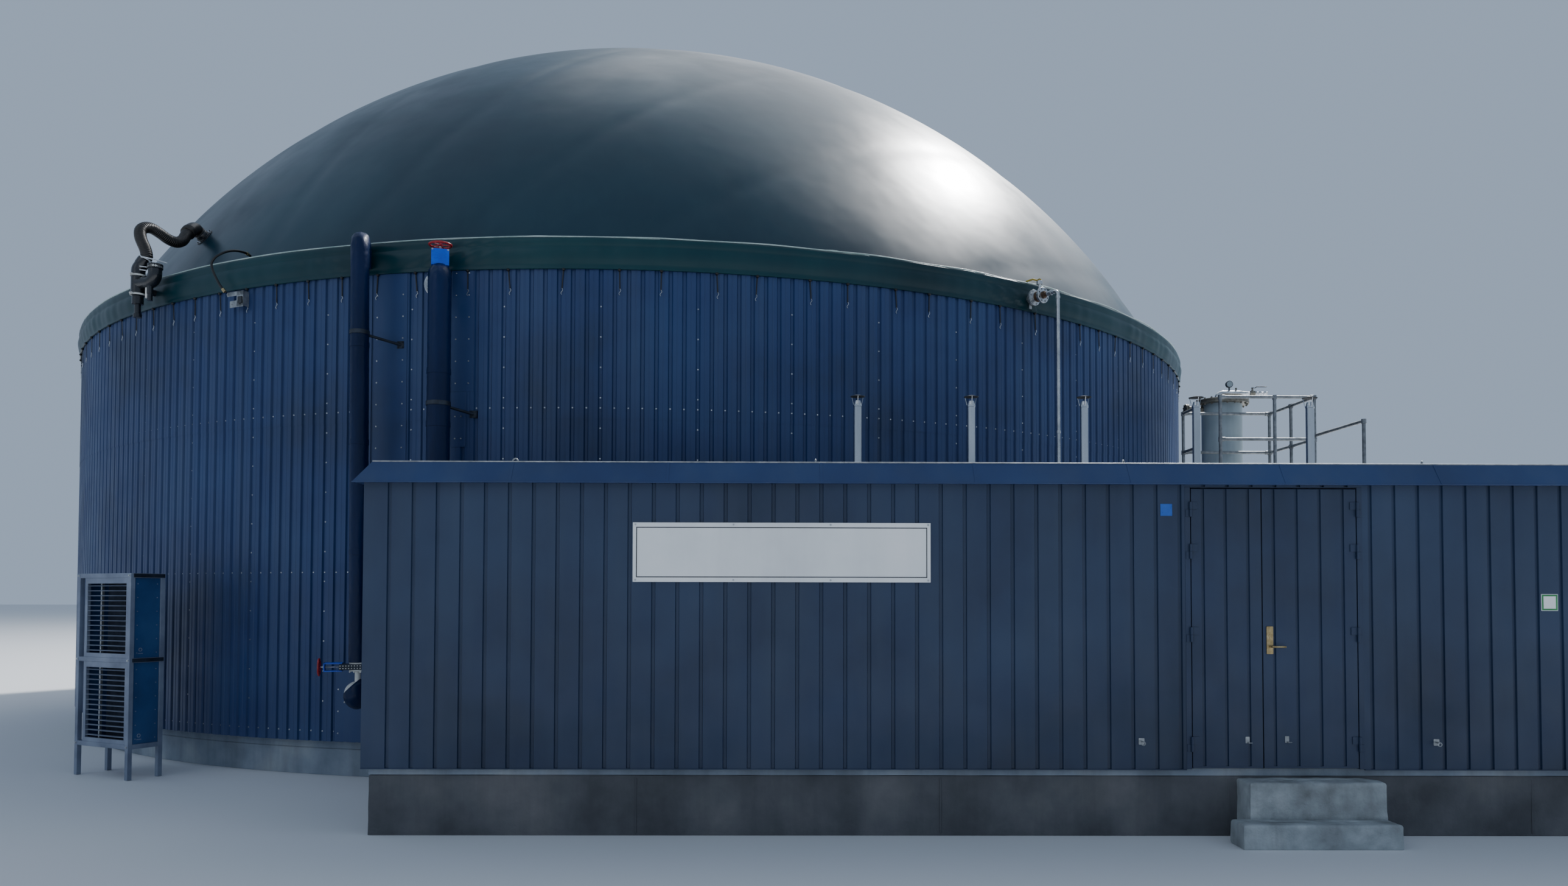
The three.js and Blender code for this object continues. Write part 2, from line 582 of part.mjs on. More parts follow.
// The right riser: elbow into the tank under a knife valve with its handwheel on top
function buildRightRiser() {
  const { x, y, r, bend, top, sides } = RISER_RIGHT;
  const at = turnedIn(RISER_RIGHT);
  const houseEnd = HOUSE_X - GAP;
  const teeZ = 2100;
  const route = [at(0, 1900), at(0, top), at(600, top)];
  const riser = join(
    pipe(route, r, bend, sides),
    rod([x, y, teeZ], [houseEnd, y, teeZ], r * 0.7, 16),
  );
  const shoulder = rod([houseEnd, y, teeZ], [houseEnd + 200, y, teeZ], r, 16);
  add(digester, "riser_right", cut(riser, tankOutside, shoulder), pipeJacket);

  const yoke = new THREE.Group();
  yoke.position.set(...at(TOP_VALVE_IN, 0));
  yoke.rotation.z = RUN_ANGLE;
  digester.add(yoke);
  const seat = top + r;
  const yokeTop = WHEEL_TOP_Z - YOKE_TOP_GAP;
  const w = TOP_YOKE_WIDTH / 2;
  const near = YOKE_SPREAD / 2;
  const plate = (side) => {
    const middle = side * near;
    return block(-w, w, middle - YOKE_PLATE / 2, middle + YOKE_PLATE / 2, seat + 10, yokeTop);
  };
  const cross = near + YOKE_PLATE / 2;
  yoke.updateMatrix();
  const pipeRoom = pipe(route, r + GAP, bend, sides).applyMatrix4(yoke.matrix.clone().invert());
  const valve = join(
    cut(block(-w, w, -cross, cross, top + r * 0.6, seat + 30), pipeRoom),
    plate(-1),
    plate(1),
    block(-w, w, -cross, cross, yokeTop - YOKE_PLATE, yokeTop),
    rod([0, 0, seat + 20], [0, 0, WHEEL_TOP_Z - RIM_R * HUB_SHARE - GAP], 12, 10),
  );
  add(yoke, "top_valve_yoke", valve, yokeBlue);
  const hub = new THREE.Group();
  hub.position.set(0, 0, WHEEL_TOP_Z);
  yoke.add(hub);
  add(hub, "top_handwheel", handwheel(WHEEL_TOP_R, RIM_R), wheelRed);
}

// Flat arms that hold each riser off the cladding
function buildRiserBrackets() {
  const arm = (name, riser, axisX, wallAngle, z, drop) => {
    const end = [TANK_R * Math.cos(wallAngle * DEG), TANK_R * Math.sin(wallAngle * DEG), z - drop];
    const axis = (height) => [axisX(height), riser.y, height];
    const body = rod(axis(z), end, ARM_R, 8);
    const around = (half, radius) => rod(axis(z - half), axis(z + half), radius, riser.sides);
    const clear = around(600, riser.r + GAP);
    const collar = cut(around(22, riser.r + 7), clear);
    const f = ARM_FOOT / 2;
    const wallPlate = block(end[0] - f, end[0] + f, end[1] - 12, end[1] + 60, end[2] - f, end[2] + f);
    add(digester, name, cut(join(cut(body, clear), collar, wallPlate), tankOutside), galvanised);
  };
  arm("riser_bracket_left", RISER_LEFT, leftAxis, -101.2, 4790, 60);
  arm("riser_bracket_right", RISER_RIGHT, () => RISER_RIGHT.x, -96.1, 4010, 60);
}

// The blower connection on the left: relief pot, hose and the port on the dome
function buildAirSupply() {
  const { x, y, r, foot, top } = POT;
  const angle = Math.atan2(y, x);
  const [cos, sin] = [Math.cos(angle), Math.sin(angle)];
  const branch = [x - sin * CUP.right - cos * CUP.inward, y + cos * CUP.right - sin * CUP.inward];
  const column = (z0, z1, radius, at = [x, y]) => rod([...at, z0], [...at, z1], radius, 12);
  const corner = top - 30;
  const cuff = (reach, radius) =>
    rod([x, y, corner], [x + reach * CUFF_WAY[0], y, corner + reach * CUFF_WAY[1]], radius, 12);
  const body = join(
    column(foot + 260, top, r),
    cuff(CUFF_REACH, HOSE_R + 12),
    column(foot + 160, foot + 280, 65),
    column(foot, foot + 200, 36),
    column(foot, foot + 40, 48),
    column(foot + 265, foot + 285, r + 8),
    column(foot + 495, foot + 515, r + 8),
    pipe([[x, y, foot + 410], [...branch, foot + 410], [...branch, foot + CUP.height]], r, r + 14, 12),
    column(foot + 565, foot + 590, r + 8, branch),
    rod([x, y, foot + 340], [x * 0.93, y * 0.93, foot + 340], 40, 12),
  );
  add(digester, "relief_valve", cut(body, tankOutside), blackRubber);

  // The port stands on the dome, square to it.
  const domeCentre = new THREE.Vector3(0, 0, DOME_CENTRE_Z);
  const normal = new THREE.Vector3(...PORT_FOOT).sub(domeCentre).normalize();
  const onNormal = (distance) => domeCentre.clone().addScaledVector(normal, distance).toArray();
  const port = cut(
    join(
      rod(onNormal(DOME_SPHERE_R - 30), onNormal(DOME_SPHERE_R + PORT_LENGTH), HOSE_R + 14, 16),
      rod(onNormal(DOME_SPHERE_R - 60), onNormal(DOME_SPHERE_R + 14), HOSE_R + 60, 16),
    ),
    domeSolid(),
  );
  add(digester, "dome_port", port, blackRubber);

  const route = [
    onNormal(DOME_SPHERE_R + PORT_LENGTH + GAP),
    onNormal(DOME_SPHERE_R + PORT_LENGTH + 40),
    ...HOSE_ROUTE,
  ].map((p) => new THREE.Vector3(...p));
  const hose = new THREE.CatmullRomCurve3(route, false, "centripetal");
  add(digester, "air_hose", cut(swept(hose, HOSE_R, 10, 34), cuff(CUFF_REACH + GAP, HOSE_R + 30)), blackRubber);
}

// The dome's outside as a full body, for trimming what stands on it.
function domeSolid() {
  const surface = domeArc(DOME_SPHERE_R + GAP, DOME_FACETS).reverse();
  return turned([[0, SKIRT_TOP], ...surface]);
}

// The gas take-off: flanged ball valve on the skirt, its lever, and the pipe down to the house
function buildGasLine() {
  const skirt = TANK_R + SKIRT_THICKNESS;
  const gasValve = turnedOutward([
    [0, skirt - 60],
    [56, skirt - 60],
    [56, skirt + 50],
    [97, skirt + 50],
    [97, skirt + 76],
    [64, skirt + 76],
    [64, skirt + 190],
    [97, skirt + 190],
    [97, skirt + 214],
    [40, skirt + 214],
    [26, skirt + 270],
    [0, skirt + 270],
  ], GAS_ANGLE, GAS_Z);
  const along = (r, z) => [r * Math.cos(GAS_ANGLE), r * Math.sin(GAS_ANGLE), z];
  const stemAt = skirt + GAS_STEM_OUT;
  const stemTop = GAS_Z + GAS_STEM_TOP;
  const stem = rod(along(stemAt, GAS_Z), along(stemAt, stemTop), 17, 10);
  const pad = rod(along(stemAt, stemTop - 52), along(stemAt, stemTop - 12), 41, 12);
  add(digester, "gas_valve", cut(join(gasValve, stem, pad), tankOutside), stainless);

  const lever = new THREE.Group();
  lever.position.set(...along(stemAt, stemTop + GAP));
  lever.rotation.z = GAS_ANGLE + Math.PI;
  digester.add(lever);
  const handle = join(
    new THREE.CylinderGeometry(24, 24, 10, 10).rotateX(Math.PI / 2).translate(0, 0, 5),
    block(0, 45, -14, 14, 2, 10),
    rod([35, 0, 7], [105, 0, 36], 9, 8),
    rod([100, 0, 36], [215, 0, 36], 11, 8),
  );
  add(lever, "gas_valve_lever", handle, leverYellow);

  const backWall = HOUSE_Y + HOUSE_DEPTH + GAP;
  const [dropX, dropY] = along(GAS_DROP_R, 0);
  const entryZ = 2500;
  const line = pipe(
    [along(skirt + 270 + GAP, GAS_Z), along(GAS_DROP_R, GAS_Z), [dropX, dropY, entryZ], [dropX, backWall, entryZ]],
    GAS_PIPE_R,
    46,
    10,
  );
  add(digester, "gas_pipe", line, galvanised);
}

// The level sensor's plate on the cladding, and its hose over the rim to the dome
function buildSensor() {
  const angle = -114.4;
  const plate = new THREE.Group();
  plate.rotation.z = (angle + 90) * DEG;
  digester.add(plate);
  const face = -TANK_R - GAP;
  const reach = 78;
  const bracket = join(
    block(-130, 130, face - reach, face - reach + 8, 5430, 5480),
    block(25, 130, face - reach, face - reach + 8, 5305, 5480),
    block(-85, 130, face - reach, face - reach + 8, 5297, 5375),
    block(110, 130, face - reach + 4, face + 60, 5305, 5475),
  );
  const nipple = rod([-115, face - reach + 30, 5455], [-115, face - reach + 6, 5455], 20, 8);
  const flatSheet = tankOutside.clone().rotateZ(-(angle + 90) * DEG);
  add(plate, "sensor_bracket", cut(join(bracket, nipple), flatSheet), galvanised);

  const at = (r, degrees, z) => [r * Math.cos(degrees * DEG), r * Math.sin(degrees * DEG), z];
  const route = [
    at(9604, -115.2, 5482),
    at(9624, -115.7, 5591),
    at(9645, -116.3, 5819),
    at(9630, -116.1, 5891),
    at(9560, -115.8, 5965),
    at(9430, -115.8, 6027),
    at(9260, -116.0, 6060),
    at(9140, -116.3, 6060),
    at(9080, -116.4, 6040),
  ].map((p) => new THREE.Vector3(...p));
  const hose = swept(new THREE.CatmullRomCurve3(route, false, "centripetal"), 14, 8, 22);
  add(digester, "sensor_hose", cut(hose, domeSolid()), blackRubber);
}

// The filter vessel, its lid with the outlet, and the access platform beside it
function buildFilter() {
  const { x, y, r, flange, lid } = VESSEL;
  const vessel = turned([
    [0, 0],
    [r, 0],
    [r, lid - 34],
    [flange, lid - 34],
    [flange, lid],
    [0, lid],
  ], 24);
  vessel.translate(x, y, 0);
  const inlet = rod([x, y, INLET_Z], [x * 0.9, y * 0.9, INLET_Z], 55, 12);
  const alongX = (x0, x1, radius, height = NOZZLE_Z) => rod([x + x0, y, height], [x + x1, y, height], radius, 12);
  const nozzle = [alongX(-490, 0, 45), alongX(-535, -490, 74)];
  add(digester, "filter_vessel", cut(join(vessel, inlet, ...nozzle), tankOutside), galvanised);
  const valveX = x + OUTLET_VALVE_X;
  const stemTop = OUTLET_Z + 70;
  const cover = join(
    turned([[0, lid + GAP], [flange, lid + GAP], [flange, lid + 30], [0, lid + 30]], 24).translate(x, y, 0),
    pipe([[x + OUTLET_X, y, lid + 20], [x + OUTLET_X, y, OUTLET_Z], [valveX + 215, y, OUTLET_Z]], 24, 90, 10),
    alongX(OUTLET_VALVE_X - 35, OUTLET_VALVE_X + 35, 42, OUTLET_Z),
    rod([valveX, y, OUTLET_Z], [valveX, y, stemTop], 12, 8),
    rod([x + GAUGE_X, y, OUTLET_Z], [x + GAUGE_X, y, GAUGE_Z - 30], 11, 8),
    rod([x + GAUGE_X, y - 20, GAUGE_Z], [x + GAUGE_X, y + 20, GAUGE_Z], 51, 14),
  );
  add(digester, "vessel_lid", cover, galvanised);
  const lever = join(
    rod([0, 0, 0], [0, 0, 10], 18, 8),
    block(0, 45, -10, 10, 2, 9),
    rod([40, 0, 6], [62, 0, 24], 6, 8),
    rod([60, 0, 24], [205, 0, 24], 7, 8),
  );
  const stem = new THREE.Group();
  stem.position.set(valveX, y, stemTop + GAP);
  digester.add(stem);
  add(stem, "vessel_valve_lever", lever, leverYellow);
}

function buildPlatform() {
  const { x0, x1, y0, y1, z } = DECK;
  const post = (x, y, top) => rod([x, y, 0], [x, y, top], RAIL_R);
  const bar = (a, b) => rod(a, b, RAIL_R);
  const middle = (x0 + x1) / 2 + 95;
  const lattice = [post(x0, LADDER_POST_Y, TOP_RAIL_Z)];
  for (const [x, y] of [[x0, y0], [x1, y0], [x0, y1], [x1, y1]]) lattice.push(post(x, y, TOP_RAIL_Z));
  const deckBeam = z - 70;
  for (const height of [deckBeam, MID_RAIL_Z, TOP_RAIL_Z]) {
    lattice.push(bar([x0, y0, height], [x1, y0, height]));
    lattice.push(bar([x0, y1, height], [x1, y1, height]));
    lattice.push(bar([x0, LADDER_POST_Y, height], [x0, y1, height]));
    lattice.push(bar([x1, y0, height], [x1, y1, height]));
  }
  lattice.push(bar([x0, y0, deckBeam], [x0, LADDER_POST_Y, deckBeam]));
  for (const y of [y0 + 200, (y0 + y1) / 2, y1 - 200]) lattice.push(bar([x0, y, deckBeam], [x1, y, deckBeam]));
  lattice.push(bar([middle, y0, deckBeam], [middle, y0, TOP_RAIL_Z]));
  lattice.push(bar([x1, (y0 + y1) / 2, deckBeam], [x1, (y0 + y1) / 2, TOP_RAIL_Z]));
  lattice.push(bar([x1, y0, FRONT_RAIL_Z], [x1, FRONT_RAIL_Y, FRONT_RAIL_Z]));
  lattice.push(post(x1, FRONT_RAIL_Y, FRONT_RAIL_Z + RAIL_R));
  const vesselFront = VESSEL.y - VESSEL.r - GAP;
  lattice.push(bar([VESSEL.x, y1, deckBeam], [VESSEL.x, vesselFront, deckBeam]));
  add(digester, "platform_rails", join(...lattice), galvanised);
  const deck = block(x0 + 30, x1 - 30, y0 + 30, y1 - 30, deckBeam + RAIL_R + GAP, z);
  add(digester, "platform_deck", deck, galvanised);
}

// The cooler: a frame on skid rails with two louvred units
function buildCooler() {
  const { x, y, turn, width, depth, top, unitLeft } = COOLER;
  const cooler = new THREE.Group();
  cooler.position.set(x, y, 0);
  cooler.rotation.z = turn;
  digester.add(cooler);
  const leg = 50;
  const frame = [];
  const legs = [[-width, 0], [-leg, 0], [-width, depth - leg], [-leg, depth - leg]];
  for (const [lx, ly] of legs) frame.push(block(lx, lx + leg, ly, ly + leg, 0, top));
  const levels = [330, 1260, top - leg];
  for (const z of levels) {
    frame.push(block(-width, 0, 0, leg, z, z + leg));
    frame.push(block(-width, 0, depth - leg, depth, z, z + leg));
    frame.push(block(-width, -width + leg, 0, depth, z, z + leg));
    frame.push(block(-leg, 0, 0, depth, z, z + leg));
  }
  add(cooler, "cooler_frame", join(...frame), galvanised);
  const unit = (name, z0, z1) => {
    const inset = leg + GAP;
    const body = block(-width + unitLeft, -inset, 12, depth - 12, z0, z1);
    add(cooler, name, body, claddingSheet);
  };
  unit("cooler_unit_lower", levels[0] + leg + GAP, levels[1] - GAP);
  unit("cooler_unit_upper", levels[1] + leg + GAP, levels[2] - GAP);
}

buildTank();
buildHouse();
buildDoor();
buildSteps();
buildVents();
buildLeftRiser();
buildRightRiser();
buildRiserBrackets();
buildAirSupply();
buildGasLine();
buildSensor();
buildFilter();
buildPlatform();
buildCooler();

export default digester;
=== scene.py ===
import math
import bpy
import numpy as np
from mathutils import Matrix, Vector


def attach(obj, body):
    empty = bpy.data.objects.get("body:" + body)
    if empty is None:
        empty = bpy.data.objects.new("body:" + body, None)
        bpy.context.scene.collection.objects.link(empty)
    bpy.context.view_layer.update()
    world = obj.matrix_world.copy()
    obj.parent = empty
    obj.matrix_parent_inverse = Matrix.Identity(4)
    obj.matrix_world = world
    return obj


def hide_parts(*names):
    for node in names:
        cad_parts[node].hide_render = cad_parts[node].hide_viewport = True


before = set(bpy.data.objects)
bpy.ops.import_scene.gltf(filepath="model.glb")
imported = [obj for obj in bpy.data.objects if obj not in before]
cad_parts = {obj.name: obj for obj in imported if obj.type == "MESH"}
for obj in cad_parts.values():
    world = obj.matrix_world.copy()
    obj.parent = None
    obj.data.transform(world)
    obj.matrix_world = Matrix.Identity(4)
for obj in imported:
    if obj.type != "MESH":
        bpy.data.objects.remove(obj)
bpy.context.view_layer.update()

# Camera. It stands on the ground in front of the technical house, almost square to its front,
# and its frame is raised so that the dome fits above the level horizon.
EYE = Vector((2.268, -21.152, 1.970))
TURN_RIGHT, TILT_UP, ROLL = 0.00681, 0.02941, 0.00229  # radians
IMAGE_WIDTH, IMAGE_HEIGHT = 2576, 1455  # pixels
FOCAL_LENGTH = 1786  # pixels
PRINCIPAL_ROW = 930.57  # pixels from the top
SENSOR_WIDTH = 36  # mm

camera_data = bpy.data.cameras.new("photo_view")
camera_data.sensor_width = SENSOR_WIDTH
camera_data.lens = FOCAL_LENGTH / IMAGE_WIDTH * SENSOR_WIDTH
camera_data.shift_y = (PRINCIPAL_ROW - IMAGE_HEIGHT / 2) / IMAGE_WIDTH
camera_data.clip_end = 600
camera = bpy.data.objects.new("photo_view", camera_data)
ahead = Vector((
    math.sin(TURN_RIGHT) * math.cos(TILT_UP),
    math.cos(TURN_RIGHT) * math.cos(TILT_UP), math.sin(TILT_UP),
))
level = Vector((math.cos(TURN_RIGHT), -math.sin(TURN_RIGHT), 0))
upward = level.cross(ahead)
right = level * math.cos(ROLL) + upward * math.sin(ROLL)
top = upward * math.cos(ROLL) - level * math.sin(ROLL)
camera.matrix_world = Matrix.Translation(EYE) @ Matrix((right, top, -ahead)).transposed().to_4x4()
bpy.context.scene.collection.objects.link(camera)
bpy.context.scene.camera = camera

# Floor and light. A pale level floor, a pale surround, one large soft lamp high behind the right
# of the tank, where the sun stands for the gloss on the dome, and a weak one from the front left.
FLOOR_HALF = 260
FLOOR_LEVEL = -0.002
SUN_DIRECTION = Vector((0.486, 0.433, 0.759))
TANK_MIDDLE = Vector((0, 0, 6))


def surface_material(name):
    """An empty Principled material and its tree: (material, node tree, shader)."""
    material = bpy.data.materials.new(name)
    material.use_nodes = True
    return material, material.node_tree, material.node_tree.nodes["Principled BSDF"]


floor_mesh = bpy.data.meshes.new("studio_floor")
corners = np.array([[-1, -1], [1, -1], [1, 1], [-1, 1]]) * FLOOR_HALF
floor_mesh.from_pydata([(x, y, FLOOR_LEVEL) for x, y in corners.tolist()], [], [(0, 1, 2, 3)])
studio_floor = bpy.data.objects.new("studio_floor", floor_mesh)
bpy.context.scene.collection.objects.link(studio_floor)
floor_paint, _, floor_shader = surface_material("studio_floor")
floor_shader.inputs["Base Color"].default_value = (0.72, 0.73, 0.74, 1)
floor_shader.inputs["Roughness"].default_value = 0.9
floor_mesh.materials.append(floor_paint)

world = bpy.data.worlds.new("studio")
world.use_nodes = True
world.node_tree.nodes["Background"].inputs["Color"].default_value = (0.60, 0.76, 1.0, 1)
world.node_tree.nodes["Background"].inputs["Strength"].default_value = 0.55
bpy.context.scene.world = world


def soft_lamp(name, direction, distance, size, power):
    """Puts in a square area lamp that looks at the tank's middle from a direction."""
    data = bpy.data.lights.new(name, "AREA")
    data.size = size
    data.energy = power
    lamp = bpy.data.objects.new(name, data)
    away = direction.normalized()
    lamp.location = TANK_MIDDLE + away * distance
    lamp.rotation_euler = away.to_track_quat("Z", "Y").to_euler()
    bpy.context.scene.collection.objects.link(lamp)


soft_lamp("key_lamp", SUN_DIRECTION, 60, 5, 80000)
soft_lamp("glow_lamp", Vector((0.30, 0.50, 0.80)), 60, 60, 12000)
soft_lamp("fill_lamp", Vector((-0.5, -0.8, 0.45)), 60, 30, 1500)

# Slab and wall. The tank is cast concrete: a round slab under a ring wall, and the foot of both
# shows below the cladding as a low grey band.
WALL_OUTSIDE = 9.3596
WALL_INSIDE = 9.1496
SLAB_TOP = 0.300
SLAB_CHAMFER = 0.012
WALL_CREST = 5.840
ROUND_STEPS = 360


def around(radius, angle, height):
    """Points at a distance from an upright axis, an angle in radians and a height."""
    radius, angle, height = np.broadcast_arrays(radius, angle, height)
    return np.stack([radius * np.cos(angle), radius * np.sin(angle), height], -1)


def spread(count):
    """Angles of count even places round a full turn."""
    return np.arange(count) / count * 2 * np.pi


def unit(ways):
    """Directions drawn to length one."""
    return ways / np.linalg.norm(ways, axis=-1, keepdims=True)


def skin(rows, ring=False):
    """Closed skin over points [..., row, place, xyz]. Neighbouring rows are joined by quads and each
    row closes on itself. The end rows are drawn to their middles, or with ring the last row joins
    the first. Returns (points, quads, triangles), with the faces turned outward."""
    rows = np.asarray(rows, float)
    count, places = rows.shape[-3:-1]
    rows = rows.reshape(-1, count, places, 3)
    copies = len(rows)
    start = np.arange(copies)[:, None, None] * count * places
    i = np.arange(count if ring else count - 1)[:, None]
    j = np.arange(places)[None, :]
    above, beside = (i + 1) % count, (j + 1) % places
    corner = [i * places + j, i * places + beside, above * places + beside, above * places + j]
    quads = (np.stack(corner, -1)[None] + start[..., None]).reshape(-1, 4)
    points = rows.reshape(-1, 3)
    tris = np.zeros((0, 3), int)
    if not ring:
        middles = np.concatenate([rows[:, 0].mean(1), rows[:, -1].mean(1)])
        low = len(points) + np.arange(copies)[:, None]
        high = low + copies
        base = np.arange(copies)[:, None] * count * places
        last = base + (count - 1) * places
        place, following = np.arange(places)[None], (np.arange(places)[None] + 1) % places
        under = np.stack([low + 0 * place, base + following, base + place], -1)
        over = np.stack([high + 0 * place, last + place, last + following], -1)
        tris = np.concatenate([under.reshape(-1, 3), over.reshape(-1, 3)])
        points = np.concatenate([points, middles])
    halves = np.concatenate([quads[:, [0, 1, 2]], quads[:, [0, 2, 3]], tris])
    a, b, c = points[halves[:, 0]], points[halves[:, 1]], points[halves[:, 2]]
    if np.einsum("ij,ij->", a, np.cross(b, c)) < 0:
        quads, tris = quads[:, ::-1], tris[:, ::-1]
    return points, quads, tris


def gather(*shapes):
    """Several skins as one, with their point numbers moved on."""
    offsets = np.cumsum([0] + [len(s[0]) for s in shapes[:-1]])
    points = np.concatenate([s[0] for s in shapes])
    quads = np.concatenate([s[1] + o for s, o in zip(shapes, offsets)])
    tris = np.concatenate([s[2] + o for s, o in zip(shapes, offsets)])
    return points, quads, tris


def turned(profile, steps=32, centre=(0, 0, 0), ring=False):
    """A profile of (distance from the axis, height) turned round a vertical axis through centre."""
    profile = np.asarray(profile, float)
    rows = around(profile[:, :1], spread(steps), profile[:, 1:])
    return skin(rows + np.asarray(centre, float), ring)


def piece(name, shape, body, material, crease=35, bevel=0.0):
    """Puts a skin into the scene as one object at the origin. Edges sharper than crease degrees stay
    sharp, and bevel rounds them in metres."""
    points, quads, tris = shape
    mesh = bpy.data.meshes.new(name)
    mesh.vertices.add(len(points))
    mesh.vertices.foreach_set("co", points.astype(np.float32).ravel())
    mesh.loops.add(quads.size + tris.size)
    mesh.loops.foreach_set("vertex_index", np.concatenate([quads.ravel(), tris.ravel()]).astype(np.int32))
    starts = np.concatenate([np.arange(len(quads)) * 4, quads.size + np.arange(len(tris)) * 3])
    mesh.polygons.add(len(quads) + len(tris))
    mesh.polygons.foreach_set("loop_start", starts.astype(np.int32))
    mesh.update(calc_edges=True)
    mesh.validate()
    mesh.shade_smooth()
    mesh.set_sharp_from_angle(angle=math.radians(crease))
    mesh.materials.append(material)
    made = bpy.data.objects.new(name, mesh)
    bpy.context.scene.collection.objects.link(made)
    if bevel:
        rounding = made.modifiers.new("edges", "BEVEL")
        rounding.width = bevel
        rounding.segments = 2
        rounding.limit_method = "ANGLE"
        rounding.angle_limit = math.radians(crease)
        rounding.harden_normals = True
    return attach(made, body)


def linear(code):
    """A colour written as six hex digits, as linear red, green, blue and 1."""
    parts = np.array([int(code[i:i + 2], 16) for i in (0, 2, 4)]) / 255
    parts = np.where(parts <= 0.04045, parts / 12.92, ((parts + 0.055) / 1.055) ** 2.4)
    return (*parts.tolist(), 1)


def noise_of(tree, scale, stretch=(1, 1, 1), detail=5, sharp=0.55):
    """Fractal noise on the object's own coordinates, with scale features a metre."""
    coordinates = tree.nodes.new("ShaderNodeTexCoord")
    mapping = tree.nodes.new("ShaderNodeMapping")
    mapping.inputs["Scale"].default_value = stretch
    noise = tree.nodes.new("ShaderNodeTexNoise")
    noise.inputs["Scale"].default_value = scale
    noise.inputs["Detail"].default_value = detail
    noise.inputs["Roughness"].default_value = sharp
    tree.links.new(coordinates.outputs["Object"], mapping.inputs["Vector"])
    tree.links.new(mapping.outputs["Vector"], noise.inputs["Vector"])
    return noise.outputs["Fac"]


def ramp_of(tree, value, stops):
    """A colour ramp over a value, from (place, colour) pairs."""
    ramp = tree.nodes.new("ShaderNodeValToRGB")
    elements = ramp.color_ramp.elements
    while len(elements) < len(stops):
        elements.new(0.5)
    for element, (place, colour) in zip(elements, stops):
        element.position = place
        element.color = colour
    tree.links.new(value, ramp.inputs["Fac"])
    return ramp.outputs["Color"]


def mixed(tree, share, first, second):
    """Two colour outputs mixed by a share between 0 and 1."""
    mix = tree.nodes.new("ShaderNodeMix")
    mix.data_type = "RGBA"
    share_socket, first_colour, second_colour = (mix.inputs[i] for i in (0, 6, 7))
    tree.links.new(share, share_socket)
    tree.links.new(first, first_colour)
    tree.links.new(second, second_colour)
    return mix.outputs[2]  # the colour result


def share_of(tree, value, low, high, least=0.0, most=1.0):
    """A value between low and high spread over least to most, held at both ends."""
    mapped = tree.nodes.new("ShaderNodeMapRange")
    for socket, number in zip(("From Min", "From Max", "To Min", "To Max"), (low, high, least, most)):
        mapped.inputs[socket].default_value = number
    tree.links.new(value, mapped.inputs["Value"])
    return mapped.outputs["Result"]


def relief(material, value, depth, strength=1.0):
    """Bump of a depth in metres, laid over what the material's normal already has."""
    tree = material.node_tree
    shader = tree.nodes["Principled BSDF"]
    bump = tree.nodes.new("ShaderNodeBump")
    bump.inputs["Strength"].default_value = strength
    bump.inputs["Distance"].default_value = depth
    tree.links.new(value, bump.inputs["Height"])
    if shader.inputs["Normal"].is_linked:
        tree.links.new(shader.inputs["Normal"].links[0].from_socket, bump.inputs["Normal"])
    tree.links.new(bump.outputs["Normal"], shader.inputs["Normal"])


def finish(name, tones, scale, gloss, metal=0.0, grain=(120, 0.0004), dirt=None, stretch=(1, 1, 1)):
    """A finish from an object's own noise: three tones over patches of scale features a metre,
    roughness between the two values of gloss, a fine grain of (scale, depth), and dirt as
    (colour, share) in runs down the surface."""
    material, tree, shader = surface_material(name)
    patches = noise_of(tree, scale, stretch)
    dark, middle, light = (linear(t) for t in tones)
    colour = ramp_of(tree, patches, [(0.30, dark), (0.50, middle), (0.72, light)])
    if dirt:
        runs = noise_of(tree, 3.0, (1, 1, 0.10), 6, 0.62)
        film = ramp_of(tree, noise_of(tree, 1.1), [(0.0, linear(dirt[0])), (1.0, linear(dirt[0]))])
        colour = mixed(tree, share_of(tree, runs, 0.45, 0.80, 0, dirt[1]), colour, film)
    tree.links.new(colour, shader.inputs["Base Color"])
    wear = noise_of(tree, scale * 2.7, stretch, 3)
    tree.links.new(share_of(tree, wear, 0.3, 0.7, *gloss), shader.inputs["Roughness"])
    shader.inputs["Metallic"].default_value = metal
    relief(material, noise_of(tree, grain[0], stretch, 4), grain[1])
    return material


concrete = finish(
    "cast_concrete", ("707b88", "8a95a1", "a6adb2"), 1.6, (0.80, 0.95), grain=(45, 0.004),
    dirt=("4d4f50", 0.55)
)
relief(concrete, noise_of(concrete.node_tree, 7, (1, 1, 1), 3), 0.006)

tank_slab = piece(
    "tank_slab",
    turned([
        (WALL_OUTSIDE, 0),
        (WALL_OUTSIDE, SLAB_TOP - SLAB_CHAMFER),
        (WALL_OUTSIDE - SLAB_CHAMFER, SLAB_TOP),
    ], ROUND_STEPS),
    "plant", concrete,
)
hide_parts("tank_floor")

ring_wall = piece(
    "tank_ring_wall",
    turned([
        (WALL_INSIDE, SLAB_TOP),
        (WALL_OUTSIDE, SLAB_TOP),
        (WALL_OUTSIDE, WALL_CREST),
        (WALL_INSIDE, WALL_CREST),
    ], ROUND_STEPS, ring=True),
    "plant", concrete,
)
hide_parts("tank_wall_1", "tank_wall_2", "tank_wall_3", "tank_wall_4")

